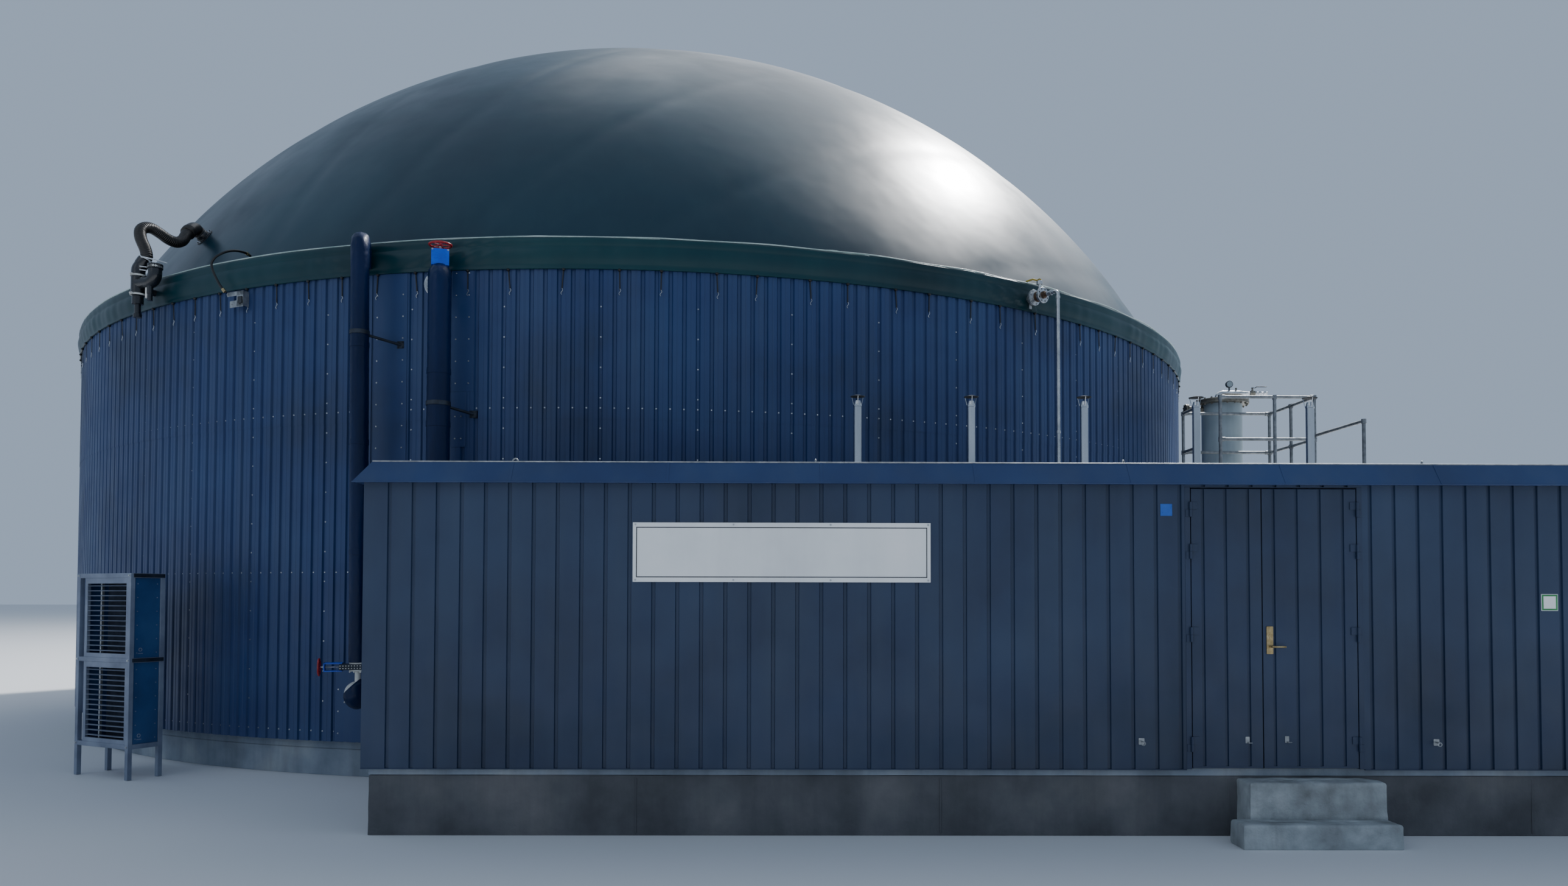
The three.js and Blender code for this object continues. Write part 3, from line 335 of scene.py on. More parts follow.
# Cladding. Coated trapezoidal steel sheet stands on end round the insulation, in two tiers: wide
# crowns with a shallow stiffener, narrow valleys, and the upper tier lapped over the lower one.
CLADDING_OUTSIDE = 9.500
CLADDING_INSIDE = 9.3610
CLADDING_FOOT = 0.391
RIBS = 398
VALLEY_DEPTH = 0.020
STIFFENER_DEPTH = 0.0025
LAP_HEIGHT = 3.900
LAP_THICKNESS = 0.003
SCREW_PHASE = -0.07  # places of the valleys' middles, in ribs
VALLEY_MIDDLE = 0.8275
RIB_TURN = 2 * np.pi / RIBS
RIB_PLACES = np.array([0.0, 0.27, 0.295, 0.36, 0.385, 0.655, 0.735, 0.92])
RIB_DEPTHS = np.array([0, 0, STIFFENER_DEPTH, STIFFENER_DEPTH, 0, 0, VALLEY_DEPTH, VALLEY_DEPTH])
rib_angles = (
    (np.arange(RIBS)[:, None] + RIB_PLACES[None] + SCREW_PHASE - VALLEY_MIDDLE) * RIB_TURN
).ravel()
rib_radii = CLADDING_OUTSIDE - np.tile(RIB_DEPTHS, RIBS)
lower_tier = rib_radii - LAP_THICKNESS
cladding_rows = np.stack([
    around(CLADDING_INSIDE, rib_angles, CLADDING_FOOT),
    around(lower_tier, rib_angles, CLADDING_FOOT),
    around(lower_tier, rib_angles, LAP_HEIGHT),
    around(rib_radii, rib_angles, LAP_HEIGHT - LAP_THICKNESS),
    around(rib_radii, rib_angles, WALL_CREST),
    around(CLADDING_INSIDE, rib_angles, WALL_CREST),
])
tank_coat = finish(
    "tank_sheet_coat", ("1a3052", "203a67", "294672"), 0.7, (0.36, 0.52), 0.1, (160, 0.0003),
    ("4a5668", 0.30)
)
tank_cladding = piece(
    "tank_cladding", skin(cladding_rows, ring=True), "plant", tank_coat, crease=20
)
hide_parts("cladding_1", "cladding_2", "cladding_3", "cladding_4")

# Sheet screws. Bright hexagon heads on sealing washers hold the sheets in every valley, in three
# level rows, and close together down the side lap of every seventh sheet edge.
SCREW_ROWS = [0.50, 2.25, 4.02]
LAP_EVERY = 7  # ribs
LAP_SCREW_STEP = 0.33
WASHER_R, WASHER_HEIGHT = 0.0085, 0.002
HEAD_R, HEAD_HEIGHT = 0.0055, 0.008


def rods(start, end, radius, sides=8):
    """Straight round bars between start and end points, one of each or arrays of them."""
    start, end = (np.asarray(p, float).reshape(-1, 3) for p in (start, end))
    way = unit(end - start)
    helper = np.where(np.abs(way[:, 2:]) > 0.9, [[1.0, 0, 0]], [[0, 0, 1.0]])
    across = unit(np.cross(helper, way))
    other = np.cross(way, across)
    angle = spread(sides)
    reach = np.broadcast_to(np.asarray(radius, float).reshape(-1, 1, 1), (len(start), 1, 1))
    round_ = (across[:, None] * np.cos(angle)[:, None] + other[:, None] * np.sin(angle)[:, None]) * reach
    return skin(np.stack([start[:, None] + round_, end[:, None] + round_], 1))


def screws(feet, outward, washer=WASHER_R, head=HEAD_R):
    """Hexagon screws with their washers, from arrays of foot points and outward directions."""
    feet, outward = np.broadcast_arrays(feet, outward)
    scale = washer / WASHER_R
    seat = feet + outward * WASHER_HEIGHT * scale
    return gather(
        rods(feet - outward * 0.001, seat, washer, 8),
        rods(seat, feet + outward * HEAD_HEIGHT * scale, head, 6),
    )


FORWARD = np.array([0, -1.0, 0])
valley_angles = (np.arange(RIBS) + SCREW_PHASE) * RIB_TURN
lap_angles = valley_angles[::LAP_EVERY]
lap_heights = np.arange(SCREW_ROWS[0] + LAP_SCREW_STEP, 5.4, LAP_SCREW_STEP)
row_grid = np.meshgrid(valley_angles, SCREW_ROWS, indexing="ij")
lap_grid = np.meshgrid(lap_angles, lap_heights, indexing="ij")
screw_angles = np.concatenate([row_grid[0].ravel(), lap_grid[0].ravel()])
screw_heights = np.concatenate([row_grid[1].ravel(), lap_grid[1].ravel()])
valley_radius = CLADDING_OUTSIDE - VALLEY_DEPTH - np.where(screw_heights < LAP_HEIGHT, LAP_THICKNESS, 0)
bright_steel = finish(
    "bright_steel", ("a9adb0", "c0c3c5", "d8dadb"), 9, (0.22, 0.38), 0.85, (300, 0.0002)
)
piece(
    "tank_sheet_screws",
    screws(around(valley_radius, screw_angles, screw_heights), around(1, screw_angles, 0)),
    "plant", bright_steel,
)

# Cover sheets. Flat pieces of the same sheet close the cladding behind each riser and round the low
# pipe's way in. Each is screwed down both long edges.
COVER_THICKNESS = 0.003
COVER_TOP = 5.56
COVER_SCREW_STEP = 0.24
COVER_SCREW_INSET = 0.055
COVER_FACE = CLADDING_OUTSIDE + COVER_THICKNESS
COVERS = [  # first and last degree round the tank, foot, top
    (-103.25, -100.72, 0.395, COVER_TOP),
    (-97.67, -96.13, 4.20, COVER_TOP),
    (-97.67, -96.60, 3.60, 4.198),
    (-105.80, -103.30, 0.395, 1.21),
]


def cover_sheet(first, last, foot, top_edge):
    """A thin curved plate outside the crowns, as four-point sections along the angle, and a round fold near
    each end.
    """
    angle = np.radians(np.linspace(first, last, 9))
    hem = 0.006
    section = [
        (CLADDING_OUTSIDE + 0.0004, foot),
        (COVER_FACE, foot),
        (COVER_FACE, top_edge),
        (CLADDING_OUTSIDE + 0.0004, top_edge),
    ]
    plate = skin(np.stack([around(r, angle, z) for r, z in section], 1))
    ends = np.radians([first, last]) + np.array([1, -1]) * hem / CLADDING_OUTSIDE
    fold = rods(around(COVER_FACE, ends, foot), around(COVER_FACE, ends, top_edge), 0.0035, 6)
    return gather(plate, fold)


cover_screw_points = []
for first, last, foot, top_edge in COVERS:
    heights = np.arange(foot + 0.09, top_edge - 0.05, COVER_SCREW_STEP)
    inset = math.degrees(COVER_SCREW_INSET / CLADDING_OUTSIDE)
    for degree in (first + inset, last - inset):
        cover_screw_points.append(around(COVER_FACE, math.radians(degree), heights))
cover_screw_points = np.concatenate(cover_screw_points)
outward = unit(cover_screw_points * [1, 1, 0])
piece(
    "cladding_covers", gather(*[cover_sheet(*c) for c in COVERS]), "plant",
    tank_coat, 30,
)
piece("cover_screws", screws(cover_screw_points, outward), "plant", bright_steel)

# Membrane skirt. The outer membrane's edge hangs over the tank's rim as a padded band: a flat
# clamped upper third, a crease, a slack bulge, and a stiff hem drawn down by elastic straps.
SKIRT_COLUMNS = 1440
SKIRT_HEM = 5.517
SKIRT_SECTION = np.array([  # distance from the cladding's face, height, share of the slack waves
    (0.0010, 5.519, 0.0),
    (0.0120, 5.516, 0.0),
    (0.0235, 5.519, 0.0),
    (0.0250, 5.534, 0.2),
    (0.0180, 5.545, 0.5),
    (0.0240, 5.575, 0.9),
    (0.0340, 5.615, 1.0),
    (0.0410, 5.655, 1.0),
    (0.0430, 5.695, 1.0),
    (0.0400, 5.730, 0.8),
    (0.0300, 5.756, 0.4),
    (0.0285, 5.766, 0.3),
    (0.0330, 5.780, 0.4),
    (0.0370, 5.808, 0.4),
    (0.0370, 5.832, 0.3),
    (0.0330, 5.848, 0.2),
    (0.0230, 5.858, 0.1),
    (0.0000, 5.8625, 0.0),
    (-0.1500, 5.8625, 0.0),
    (-0.3300, 5.8610, 0.0),
    (-0.3350, 5.8430, 0.0),
    (0.0010, 5.8430, 0.0),
])
DRAPES = [
    (-98.9, 0.030, 2.4, -1), (-56.9, 0.030, 2.2, 1), (-104.6, 0.014, 1.6, 1)
]  # degree, depth, reach, lean


def waves(angle, seed, longest=60, count=7):
    """Sum of sine waves round a full turn, from whole numbers of periods, scaled to about one."""
    draw = np.random.default_rng(seed)
    periods = draw.integers(longest // 3, longest, count)
    phases = draw.uniform(0, 2 * np.pi, count)
    return np.sin(angle[..., None] * periods + phases).sum(-1) / math.sqrt(count)


skirt_angles = spread(SKIRT_COLUMNS)
slack = 0.0045 * waves(skirt_angles, 3, 90) + 0.003 * waves(skirt_angles, 5, 330)
skirt_out, skirt_height, slack_share = (SKIRT_SECTION[:, i, None] for i in range(3))
skirt_radius = CLADDING_OUTSIDE + skirt_out + slack_share * slack[None]
for degree, depth, reach, lean in DRAPES:
    offset = (np.degrees(skirt_angles)[None] - (degree % 360) + 180) % 360 - 180
    offset = offset + lean * (skirt_height - SKIRT_HEM) * 9
    fold = np.exp(-((offset / reach) ** 2)) * np.cos(offset * 5.2)
    skirt_radius = skirt_radius + slack_share * depth * 0.45 * fold
rim_wave = 0.0035 * waves(skirt_angles, 8, 70)
skirt_height = skirt_height + np.where(np.arange(len(SKIRT_SECTION)) == 16, 1, 0)[:, None] * rim_wave[None]
skirt_rows = around(np.maximum(skirt_radius, CLADDING_OUTSIDE + np.minimum(skirt_out, 0.001)),
                    skirt_angles[None], skirt_height)


def lacquer(material, coat, coat_roughness, shine):
    """A clear coat's weight and roughness, and how much the surface under it mirrors."""
    inputs = material.node_tree.nodes["Principled BSDF"].inputs
    inputs["Coat Weight"].default_value = coat
    inputs["Coat Roughness"].default_value = coat_roughness
    inputs["Specular IOR Level"].default_value = shine


def membrane_finish(name, tones, gloss, coat):
    """Lacquered membrane: faint mottling, pale wiped dust, and a fine cloth grain under the gloss."""
    material = finish(name, tones, 0.35, gloss, grain=(260, 0.0002), dirt=("35565a", 0.14))
    lacquer(material, coat, 0.26, 0.3)
    relief(material, noise_of(material.node_tree, 1.4, (1, 1, 1), 2), 0.012, 0.5)
    return material


skirt_membrane = membrane_finish(
    "skirt_membrane", ("02262e", "05343c", "0d4449"), (0.32, 0.46), 0.05
)
membrane_skirt = piece(
    "skirt_band", skin(skirt_rows, ring=True), "plant", skirt_membrane, crease=60
)
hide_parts("membrane_skirt")

# Rim bead. The welded cord in the membrane's top edge runs round the rim in slow waves, and
# lies doubled where two lengths overlap.
BEAD_R = 0.0075
BEAD_HEIGHT = 5.868
DOUBLED = [(-99, -84), (-75, -69), (-62, -58), (-40, -30), (40, 55), (150, 168)]  # degrees


def tube(path, radius, sides=16, side=(0, 1, 0), ring=False):
    """Round sections carried along a path, each square to it. side is a direction that the path
    never takes. radius is one number, one for each point, or one for each point and place."""
    path = np.asarray(path, float)
    if ring:
        way = np.roll(path, -1, 0) - np.roll(path, 1, 0)
    else:
        way = np.gradient(path, axis=0)
    way = unit(way)
    first = unit(np.cross(np.broadcast_to(side, way.shape), way))
    second = np.cross(way, first)
    angle = spread(sides)
    reach = np.asarray(radius, float)
    reach = reach.reshape(-1, 1, 1) if reach.ndim < 2 else reach[..., None]
    spokes = first[:, None] * np.cos(angle)[:, None] + second[:, None] * np.sin(angle)[:, None]
    return skin(path[:, None] + spokes * reach, ring)


bead_angles = spread(900)
bead_path = around(
    CLADDING_OUTSIDE + 0.018 + 0.004 * waves(bead_angles, 11, 60), bead_angles,
    BEAD_HEIGHT + 0.004 * waves(bead_angles, 13, 50),
)
beads = [tube(bead_path, BEAD_R, 8, (0, 0, 1), ring=True)]
for first, last in DOUBLED:
    along = np.linspace(0, 1, 60)
    angle = np.radians(first + (last - first) * along)
    rise = 0.016 * np.sin(np.pi * along) * (1 + 0.4 * np.sin(along * 17))
    beads.append(
        tube(
            around(CLADDING_OUTSIDE - 0.012, angle, BEAD_HEIGHT - 0.006 + rise), BEAD_R * 0.8, 8,
            (0, 0, 1),
        )
    )
bead_membrane = finish(
    "rim_bead", ("7f9c98", "a9bfba", "c3d2cd"), 4, (0.25, 0.45), grain=(200, 0.0003)
)
piece("rim_bead", gather(*beads), "plant", bead_membrane, 80)

# Straps. Short black elastic loops hang from the hem, three or four sheet ribs apart, each with a
# knot under the hem and a small zinc-plated hook at its lower end.
STRAP_FIRST = -100.17  # degrees
STRAP_STEPS = [4, 3, 4, 4, 3, 4, 3, 4, 3, 4, 3, 4, 3, 4]  # ribs, then three all the way round
STRAP_DROP = 0.215
STRAP_WIDTH, STRAP_THICKNESS = 0.012, 0.005
KNOT_R = 0.020
HOOK_LENGTH, HOOK_WIRE, HOOK_BOW = 0.070, 0.0035, 0.010
strap_ribs = np.concatenate([[0], np.cumsum(STRAP_STEPS + [3] * 116)])
strap_ribs = strap_ribs[strap_ribs < RIBS - 2]
strap_angles = np.radians(STRAP_FIRST) + strap_ribs * RIB_TURN
strap_sway = np.random.default_rng(4).uniform(-1, 1, len(strap_angles))
strap_face = CLADDING_OUTSIDE + 0.012


def bands(start, end, width, thickness):
    """Flat straps between arrays of points on the tank's face, width along the face."""
    radial = unit(start * [1, 1, 0])
    sideways = np.cross([0, 0, 1.0], radial) * width / 2
    depth = radial * thickness / 2
    loop = np.stack([-sideways - depth, sideways - depth, sideways + depth, -sideways + depth], 1)
    return skin(np.stack([start[:, None] + loop, end[:, None] + loop], 1))


strap_tops = around(strap_face, strap_angles, SKIRT_HEM + 0.004)
strap_ends = around(strap_face - 0.004, strap_angles + strap_sway * 0.0022, SKIRT_HEM - STRAP_DROP)
knot_profile = np.array([(0.4, -1.0), (0.85, -0.55), (1.0, 0.0), (0.85, 0.55), (0.4, 1.0)]) * KNOT_R
knot_shape = around(knot_profile[:, :1], spread(8), knot_profile[:, 1:] * 0.8)
knots = skin(around(strap_face + 0.004, strap_angles, SKIRT_HEM - 0.006)[:, None, None] + knot_shape[None])
hook_turn = np.linspace(0, 1, 9)
hook_bow = HOOK_BOW * np.sin(hook_turn * 2 * np.pi)
hook_drop = HOOK_LENGTH * (hook_turn - 0.1)
hooks = [
    tube(
        around(strap_face - 0.002, a + hook_bow / CLADDING_OUTSIDE, z - hook_drop), HOOK_WIRE, 6,
        (-math.cos(a), -math.sin(a), 0),
    )
    for a, z in zip(strap_angles + strap_sway * 0.0022, strap_ends[:, 2])
]
black_rubber = finish(
    "black_rubber", ("0b0c0e", "121417", "1c1f22"), 8, (0.38, 0.60), grain=(220, 0.0004)
)
strap_shapes = gather(bands(strap_tops, strap_ends, STRAP_WIDTH, STRAP_THICKNESS), knots)
piece("skirt_straps", strap_shapes, "plant", black_rubber)
piece("strap_hooks", gather(*hooks), "plant", bright_steel)

# Gas dome. The outer membrane is an inflated cap, cut from long gores that all run between the
# same two sides. Each gore stands a few millimetres proud of the welds beside it.
DOME_RADIUS = 10.330
DOME_CENTRE = np.array([0, 0, 1.210])
DOME_FOOT = 5.861
DOME_THICKNESS = 0.040
GORE_AXIS = np.array([0.422, 0.906, 0.0])
GORE_TURN = math.radians(14.35)
GORE_FIRST = math.radians(-57.7)
GORE_COUNT = 9  # welds that cross the cap
PILLOW = 0.010
WELD_WIDTH, WELD_RISE = 0.034, 0.0022
OUTER_RINGS, INNER_RINGS, DOME_COLUMNS = 104, 14, 480
CROWN_SHARE = 0.004  # of the half cap, where the rings stop
gore_side = np.cross([0, 0, 1.0], GORE_AXIS)


def gore_angle(direction):
    """Turn of a direction from the dome's centre about the gores' common axis."""
    return np.arctan2(direction @ gore_side, direction[..., 2])


def dome_lift(direction):
    """Height of the membrane over the true sphere: gores bulge between their welds."""
    place = (gore_angle(direction) - GORE_FIRST) / GORE_TURN
    away = np.abs(place - np.round(place)) * GORE_TURN * DOME_RADIUS
    return -PILLOW * np.exp(-away / 0.16)


half_cap = math.acos((DOME_FOOT - DOME_CENTRE[2]) / DOME_RADIUS)
outer_polar = half_cap * np.linspace(1, CROWN_SHARE, OUTER_RINGS)
inner_polar = half_cap * np.linspace(CROWN_SHARE, 1, INNER_RINGS)
turns = spread(DOME_COLUMNS)


def on_dome(polar_angle, turn):
    """Unit directions from the dome's centre."""
    return around(np.sin(polar_angle), turn, np.cos(polar_angle))


outer_way = on_dome(outer_polar[:, None], turns[None])
inner_way = on_dome(inner_polar[:, None], turns[None])
outer_rows = DOME_CENTRE + outer_way * (DOME_RADIUS + dome_lift(outer_way))[..., None]
inner_rows = DOME_CENTRE + inner_way * (DOME_RADIUS - DOME_THICKNESS)
dome_membrane = membrane_finish(
    "dome_membrane", ("012838", "02303f", "053848"), (0.28, 0.40), 0.10
)
gas_dome = piece(
    "dome_skin", skin(np.concatenate([inner_rows, outer_rows])), "plant", dome_membrane,
    crease=60
)
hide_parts("gas_dome")


def weld(turn):
    """A flat strip along the great circle through the gores' axis at one turn about it."""
    middle = math.sin(turn) * gore_side + math.cos(turn) * np.array([0, 0, 1.0])
    square = np.cross(middle, GORE_AXIS)
    reach = math.acos(min(1, (DOME_FOOT + 0.004 - DOME_CENTRE[2]) / DOME_RADIUS / math.cos(turn)))
    t = np.linspace(-reach, reach, 160)[:, None]
    way = np.cos(t) * middle + np.sin(t) * GORE_AXIS
    base = DOME_RADIUS - PILLOW
    corner = [(-1, -0.004), (1, -0.004), (0.82, WELD_RISE), (-0.82, WELD_RISE)]
    rows = [DOME_CENTRE + way * (base + up) + square * side * WELD_WIDTH / 2 for side, up in corner]
    return skin(np.stack(rows, 1))


weld_membrane = membrane_finish(
    "dome_weld", ("04262f", "08323d", "0e3d4a"), (0.24, 0.38), 0.2
)
dome_welds = gather(*[weld(GORE_FIRST + k * GORE_TURN) for k in range(GORE_COUNT)])
piece("dome_welds", dome_welds, "plant", weld_membrane, 20)

# House plinth and floor. A long cast plinth carries the technical house: rough, a little uneven
# along its top edge, set back under the walls, with its floor slab on it.
HOUSE_LEFT, HOUSE_RIGHT = -1.174, 11.016
HOUSE_FRONT, HOUSE_BACK = -12.086, -9.648
PLINTH_SETBACK = 0.050
PLINTH_TOP, FLOOR_TOP = 0.500, 0.560
WALL_TOP = 2.960


def ripple(points, seed, wavelength, count=9):
    """Smooth random height at points: a sum of plane waves in random directions, about -1 to 1."""
    draw = np.random.default_rng(seed)
    way = draw.normal(size=(count, 3))
    way *= (2 * np.pi / wavelength / np.linalg.norm(way, axis=1) * draw.uniform(0.6, 1.7, count))[:, None]
    return np.sin(points @ way.T + draw.uniform(0, 2 * np.pi, count)).sum(-1) / math.sqrt(count)


def cast_block(x0, x1, y0, y1, z0, z1, round_=0.018, step=0.05, rough=0.003, seed=1):
    """A cast concrete block as level rings: rounded arrises, and a surface moved in and out by a
    sum of waves. Each ring is the plan's outline, drawn in by the rounding at its height."""
    across = np.linspace(0, 1, max(4, int((x1 - x0) / step)))
    along = np.linspace(0, 1, max(4, int((y1 - y0) / step)))
    side = np.concatenate([
        np.stack([across[:-1], 0 * across[:-1]], -1),
        np.stack([1 + 0 * along[:-1], along[:-1]], -1),
        np.stack([across[:0:-1], 1 + 0 * across[:0:-1]], -1),
        np.stack([0 * along[:0:-1], along[:0:-1]], -1),
    ])
    arc = np.linspace(0, np.pi / 2, 4)
    rise = np.linspace(z0, z1 - round_, max(3, int((z1 - z0) / step)))
    draw_in = np.concatenate([0 * rise, round_ * (1 - np.cos(arc[1:])), [0.06, 0.15]])
    height = np.concatenate([rise, z1 - round_ + round_ * np.sin(arc[1:]), [z1, z1]])
    low, high = np.array([x0, y0]), np.array([x1, y1])
    half = (high - low) / 2
    centre = (low + high) / 2
    share = 1 - np.minimum(draw_in[:, None] / half[None], 0.96)
    plan = centre + (side * 2 - 1)[None] * half * share[:, None]
    rows = np.concatenate([plan, np.broadcast_to(height[:, None, None], plan.shape[:2] + (1,))], -1)
    swell = rough * (ripple(rows, seed, 0.35) + 0.5 * ripple(rows, seed + 1, 0.11))
    outward = np.concatenate([np.sign(side * 2 - 1) * (np.abs(side * 2 - 1) > 0.999), 0 * side[:, :1]], -1)
    upright = (np.arange(len(height)) > len(rise))[:, None, None] * np.array([0, 0, 1.0])
    moved = rows + swell[..., None] * np.where(
        upright, upright, outward[None]
    ) * (height > z0)[:, None, None]
    return skin(moved)


# The plinth's concrete is the tank's concrete drawn darker: painted shade for the plinth's shaded front.
plinth_concrete_painted_shade = finish(
    "plinth_concrete_painted_shade", ("45474b", "5a5c60", "706f70"), 1.6, (0.80, 0.95), grain=(45, 0.004),
    dirt=("35383c", 0.5)
)
relief(plinth_concrete_painted_shade, noise_of(plinth_concrete_painted_shade.node_tree, 7, (1, 1, 1), 3), 0.006)
PLINTH_FORM_JOINTS = [1.10, 3.64, 6.05, 8.60]  # places of the form boards' joints along the front
plinth = piece(
    "house_plinth_block",
    cast_block(HOUSE_LEFT + PLINTH_SETBACK, HOUSE_RIGHT - PLINTH_SETBACK, HOUSE_FRONT + PLINTH_SETBACK,
               HOUSE_BACK - PLINTH_SETBACK, 0, PLINTH_TOP, 0.014, 0.10, 0.0035, 21),
    "plant", plinth_concrete_painted_shade,
)
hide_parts("house_plinth")


def blocks(boxes):
    """Plain boxes from an array of x0, x1, y0, y1, z0, z1."""
    x0, x1, y0, y1, z0, z1 = np.asarray(boxes, float).reshape(-1, 6).T
    ring = [(x0, y0), (x1, y0), (x1, y1), (x0, y1)]
    rows = [np.stack([np.stack([x, y, z], -1) for x, y in ring], 1) for z in (z0, z1)]
    return skin(np.stack(rows, 1))


joint_strips = [
    (
        x - 0.006, x + 0.006, HOUSE_FRONT + PLINTH_SETBACK - 0.005,
        HOUSE_FRONT + PLINTH_SETBACK + 0.01, 0.02, 0.47,
    )
    for x in PLINTH_FORM_JOINTS
]
piece("plinth_form_marks", blocks(joint_strips), "plant", plinth_concrete_painted_shade, bevel=0.002)
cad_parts["house_floor"].data.materials.clear()
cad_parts["house_floor"].data.materials.append(concrete)

# House walls. Upright cassette panels, coated dark, 200 mm from groove to groove, with a plain
# strip at each corner. Each groove is a narrow trapezoidal channel.
PANEL_STEP = 0.200
FIRST_GROOVE, END_FIRST_GROOVE = -0.959, 0.219
GROOVE_WIDTH, GROOVE_DEPTH, GROOVE_SLOPE = 0.034, 0.016, 0.005
WALL_THICKNESS = 0.080
DOOR_LEFT, DOOR_MEETING, DOOR_RIGHT = 5.730, 6.328, 7.130
DOOR_TOP = 2.900
FRAME_WIDTH = 0.044
FRAME_HEAD = 2.9154
SEAM_GAP = 0.0004


def grooved(first, last, grooves, depth=GROOVE_DEPTH, width=GROOVE_WIDTH):
    """Stations along a panel and how far its face lies back: full depth in each groove's floor."""
    inside = [g for g in grooves if first + width / 2 < g < last - width / 2]
    half, slope = width / 2, GROOVE_SLOPE
    places, depths = [first], [0.0]
    for groove in inside:
        places += [groove - half, groove - half + slope, groove + half - slope, groove + half]
        depths += [0.0, depth, depth, 0.0]
    return np.array(places + [last]), np.array(depths + [0.0])


def panel_wall(first, last, face, back, foot, head, grooves, along_y=False):
    """A grooved panel wall as four-point sections along its length, face to the lower side."""
    place, sunk = grooved(first, last, grooves)
    inward = 1 if back > face else -1
    front = face + inward * sunk
    section = [(front, foot), (front, head), (back + 0 * front, head), (back + 0 * front, foot)]
    if along_y:
        rows = [np.stack([depth, place, height + 0 * place], -1) for depth, height in section]
    else:
        rows = [np.stack([place, depth, height + 0 * place], -1) for depth, height in section]
    return skin(np.stack(rows, 1))


front_grooves = FIRST_GROOVE + PANEL_STEP * np.arange(60)
end_grooves = HOUSE_FRONT + END_FIRST_GROOVE + PANEL_STEP * np.arange(11)
house_coat = finish(
    "house_panel_coat", ("1a2a41", "21334e", "283c59"), 0.8, (0.42, 0.58), 0.05, (140, 0.0004),
    ("4c5663", 0.20)
)
inner_front = HOUSE_FRONT + WALL_THICKNESS
WALLS = {
    "front_wall_left": (
        HOUSE_LEFT, DOOR_LEFT - FRAME_WIDTH - SEAM_GAP, HOUSE_FRONT, inner_front, FLOOR_TOP, False
    ),
    "front_wall_right": (
        DOOR_RIGHT + FRAME_WIDTH + SEAM_GAP, HOUSE_RIGHT, HOUSE_FRONT, inner_front, FLOOR_TOP, False
    ),
    "front_wall_over_door": (DOOR_LEFT - FRAME_WIDTH, DOOR_RIGHT + FRAME_WIDTH, HOUSE_FRONT, inner_front,
                             FRAME_HEAD, False),
    "back_wall": (HOUSE_LEFT, HOUSE_RIGHT, HOUSE_BACK, HOUSE_BACK - WALL_THICKNESS, FLOOR_TOP, False),
    "end_wall_left": (HOUSE_FRONT + WALL_THICKNESS + SEAM_GAP, HOUSE_BACK - WALL_THICKNESS - SEAM_GAP,
                      HOUSE_LEFT, HOUSE_LEFT + WALL_THICKNESS, FLOOR_TOP, True),
    "end_wall_right": (HOUSE_FRONT + WALL_THICKNESS + SEAM_GAP, HOUSE_BACK - WALL_THICKNESS - SEAM_GAP,
                       HOUSE_RIGHT, HOUSE_RIGHT - WALL_THICKNESS, FLOOR_TOP, True),
}
for wall_name, (first, last, face, back, foot, along_y) in WALLS.items():
    grooves = end_grooves if along_y else front_grooves
    wall_panels = panel_wall(first, last, face, back, foot, WALL_TOP, grooves, along_y)
    made = piece(f"{wall_name}_panels", wall_panels, "plant", house_coat, 20)
    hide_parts(wall_name)
DRIP_OUT, DRIP_DROP = 0.006, 0.008
drip_edge = blocks([
    (
        HOUSE_LEFT, DOOR_LEFT - FRAME_WIDTH, HOUSE_FRONT - DRIP_OUT, HOUSE_FRONT + 0.02,
        FLOOR_TOP - DRIP_DROP, FLOOR_TOP,
    ),
    (
        DOOR_RIGHT + FRAME_WIDTH, HOUSE_RIGHT, HOUSE_FRONT - DRIP_OUT, HOUSE_FRONT + 0.02,
        FLOOR_TOP - DRIP_DROP, FLOOR_TOP,
    ),
])
piece("wall_drip_edge", drip_edge, "plant", house_coat, bevel=0.002)

# Roof and fascia. The roof is a flat insulated deck under dark sheeting. A folded metal fascia
# leans back all round its edge, in lengths that meet under narrow cover straps.
FASCIA_JOINTS = [0.052, 1.357, 2.640, 3.926, 5.224, 6.514, 7.817, 9.110, 10.400]
FASCIA_FOOT, FASCIA_HEAD = 2.930, 3.114
FASCIA_OUT, FASCIA_IN = 0.075, 0.050
STRAP_HALF, STRAP_RISE, HEM_R = 0.012, 0.0025, 0.004
roof_coat = finish(
    "roof_sheeting", ("24282d", "2f3439", "3b4045"), 1.2, (0.65, 0.85), 0, (90, 0.0008), ("6a6d6e", 0.35)
)
fascia_coat = finish(
    "fascia_coat", ("192f53", "1e3864", "254270"), 0.6, (0.34, 0.48), 0.10, (140, 0.0003), ("55606c", 0.20)
)
for node_name, coat in (("house_roof", roof_coat), ("roof_fascia", fascia_coat)):
    node_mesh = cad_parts[node_name].data
    node_mesh.materials.clear()
    node_mesh.materials.append(coat)


def fascia_strap(x):
    """One cover strap up the front slope, as two sections from the drip edge to the top fold."""
    foot = np.array([0, HOUSE_FRONT - FASCIA_OUT, FASCIA_FOOT - 0.001])
    head = np.array([0, HOUSE_FRONT + FASCIA_IN, FASCIA_HEAD + 0.001])
    way = head - foot
    lift = np.array([0, -way[2], way[1]]) / np.linalg.norm(way) * STRAP_RISE
    side = np.array([STRAP_HALF, 0, 0])
    loop = np.stack([-side - lift * 0.5, side - lift * 0.5, side + lift, -side + lift])
    return skin(np.stack([foot + loop, head + loop]) + [x, 0, 0])


fascia_hem = rods(
    (HOUSE_LEFT - FASCIA_OUT, HOUSE_FRONT - FASCIA_OUT, FASCIA_FOOT),
    (HOUSE_RIGHT + FASCIA_OUT, HOUSE_FRONT - FASCIA_OUT, FASCIA_FOOT), HEM_R, 8,
)
fascia_straps = gather(*[fascia_strap(x) for x in FASCIA_JOINTS], fascia_hem)
piece("fascia_straps", fascia_straps, "plant", fascia_coat, 20)
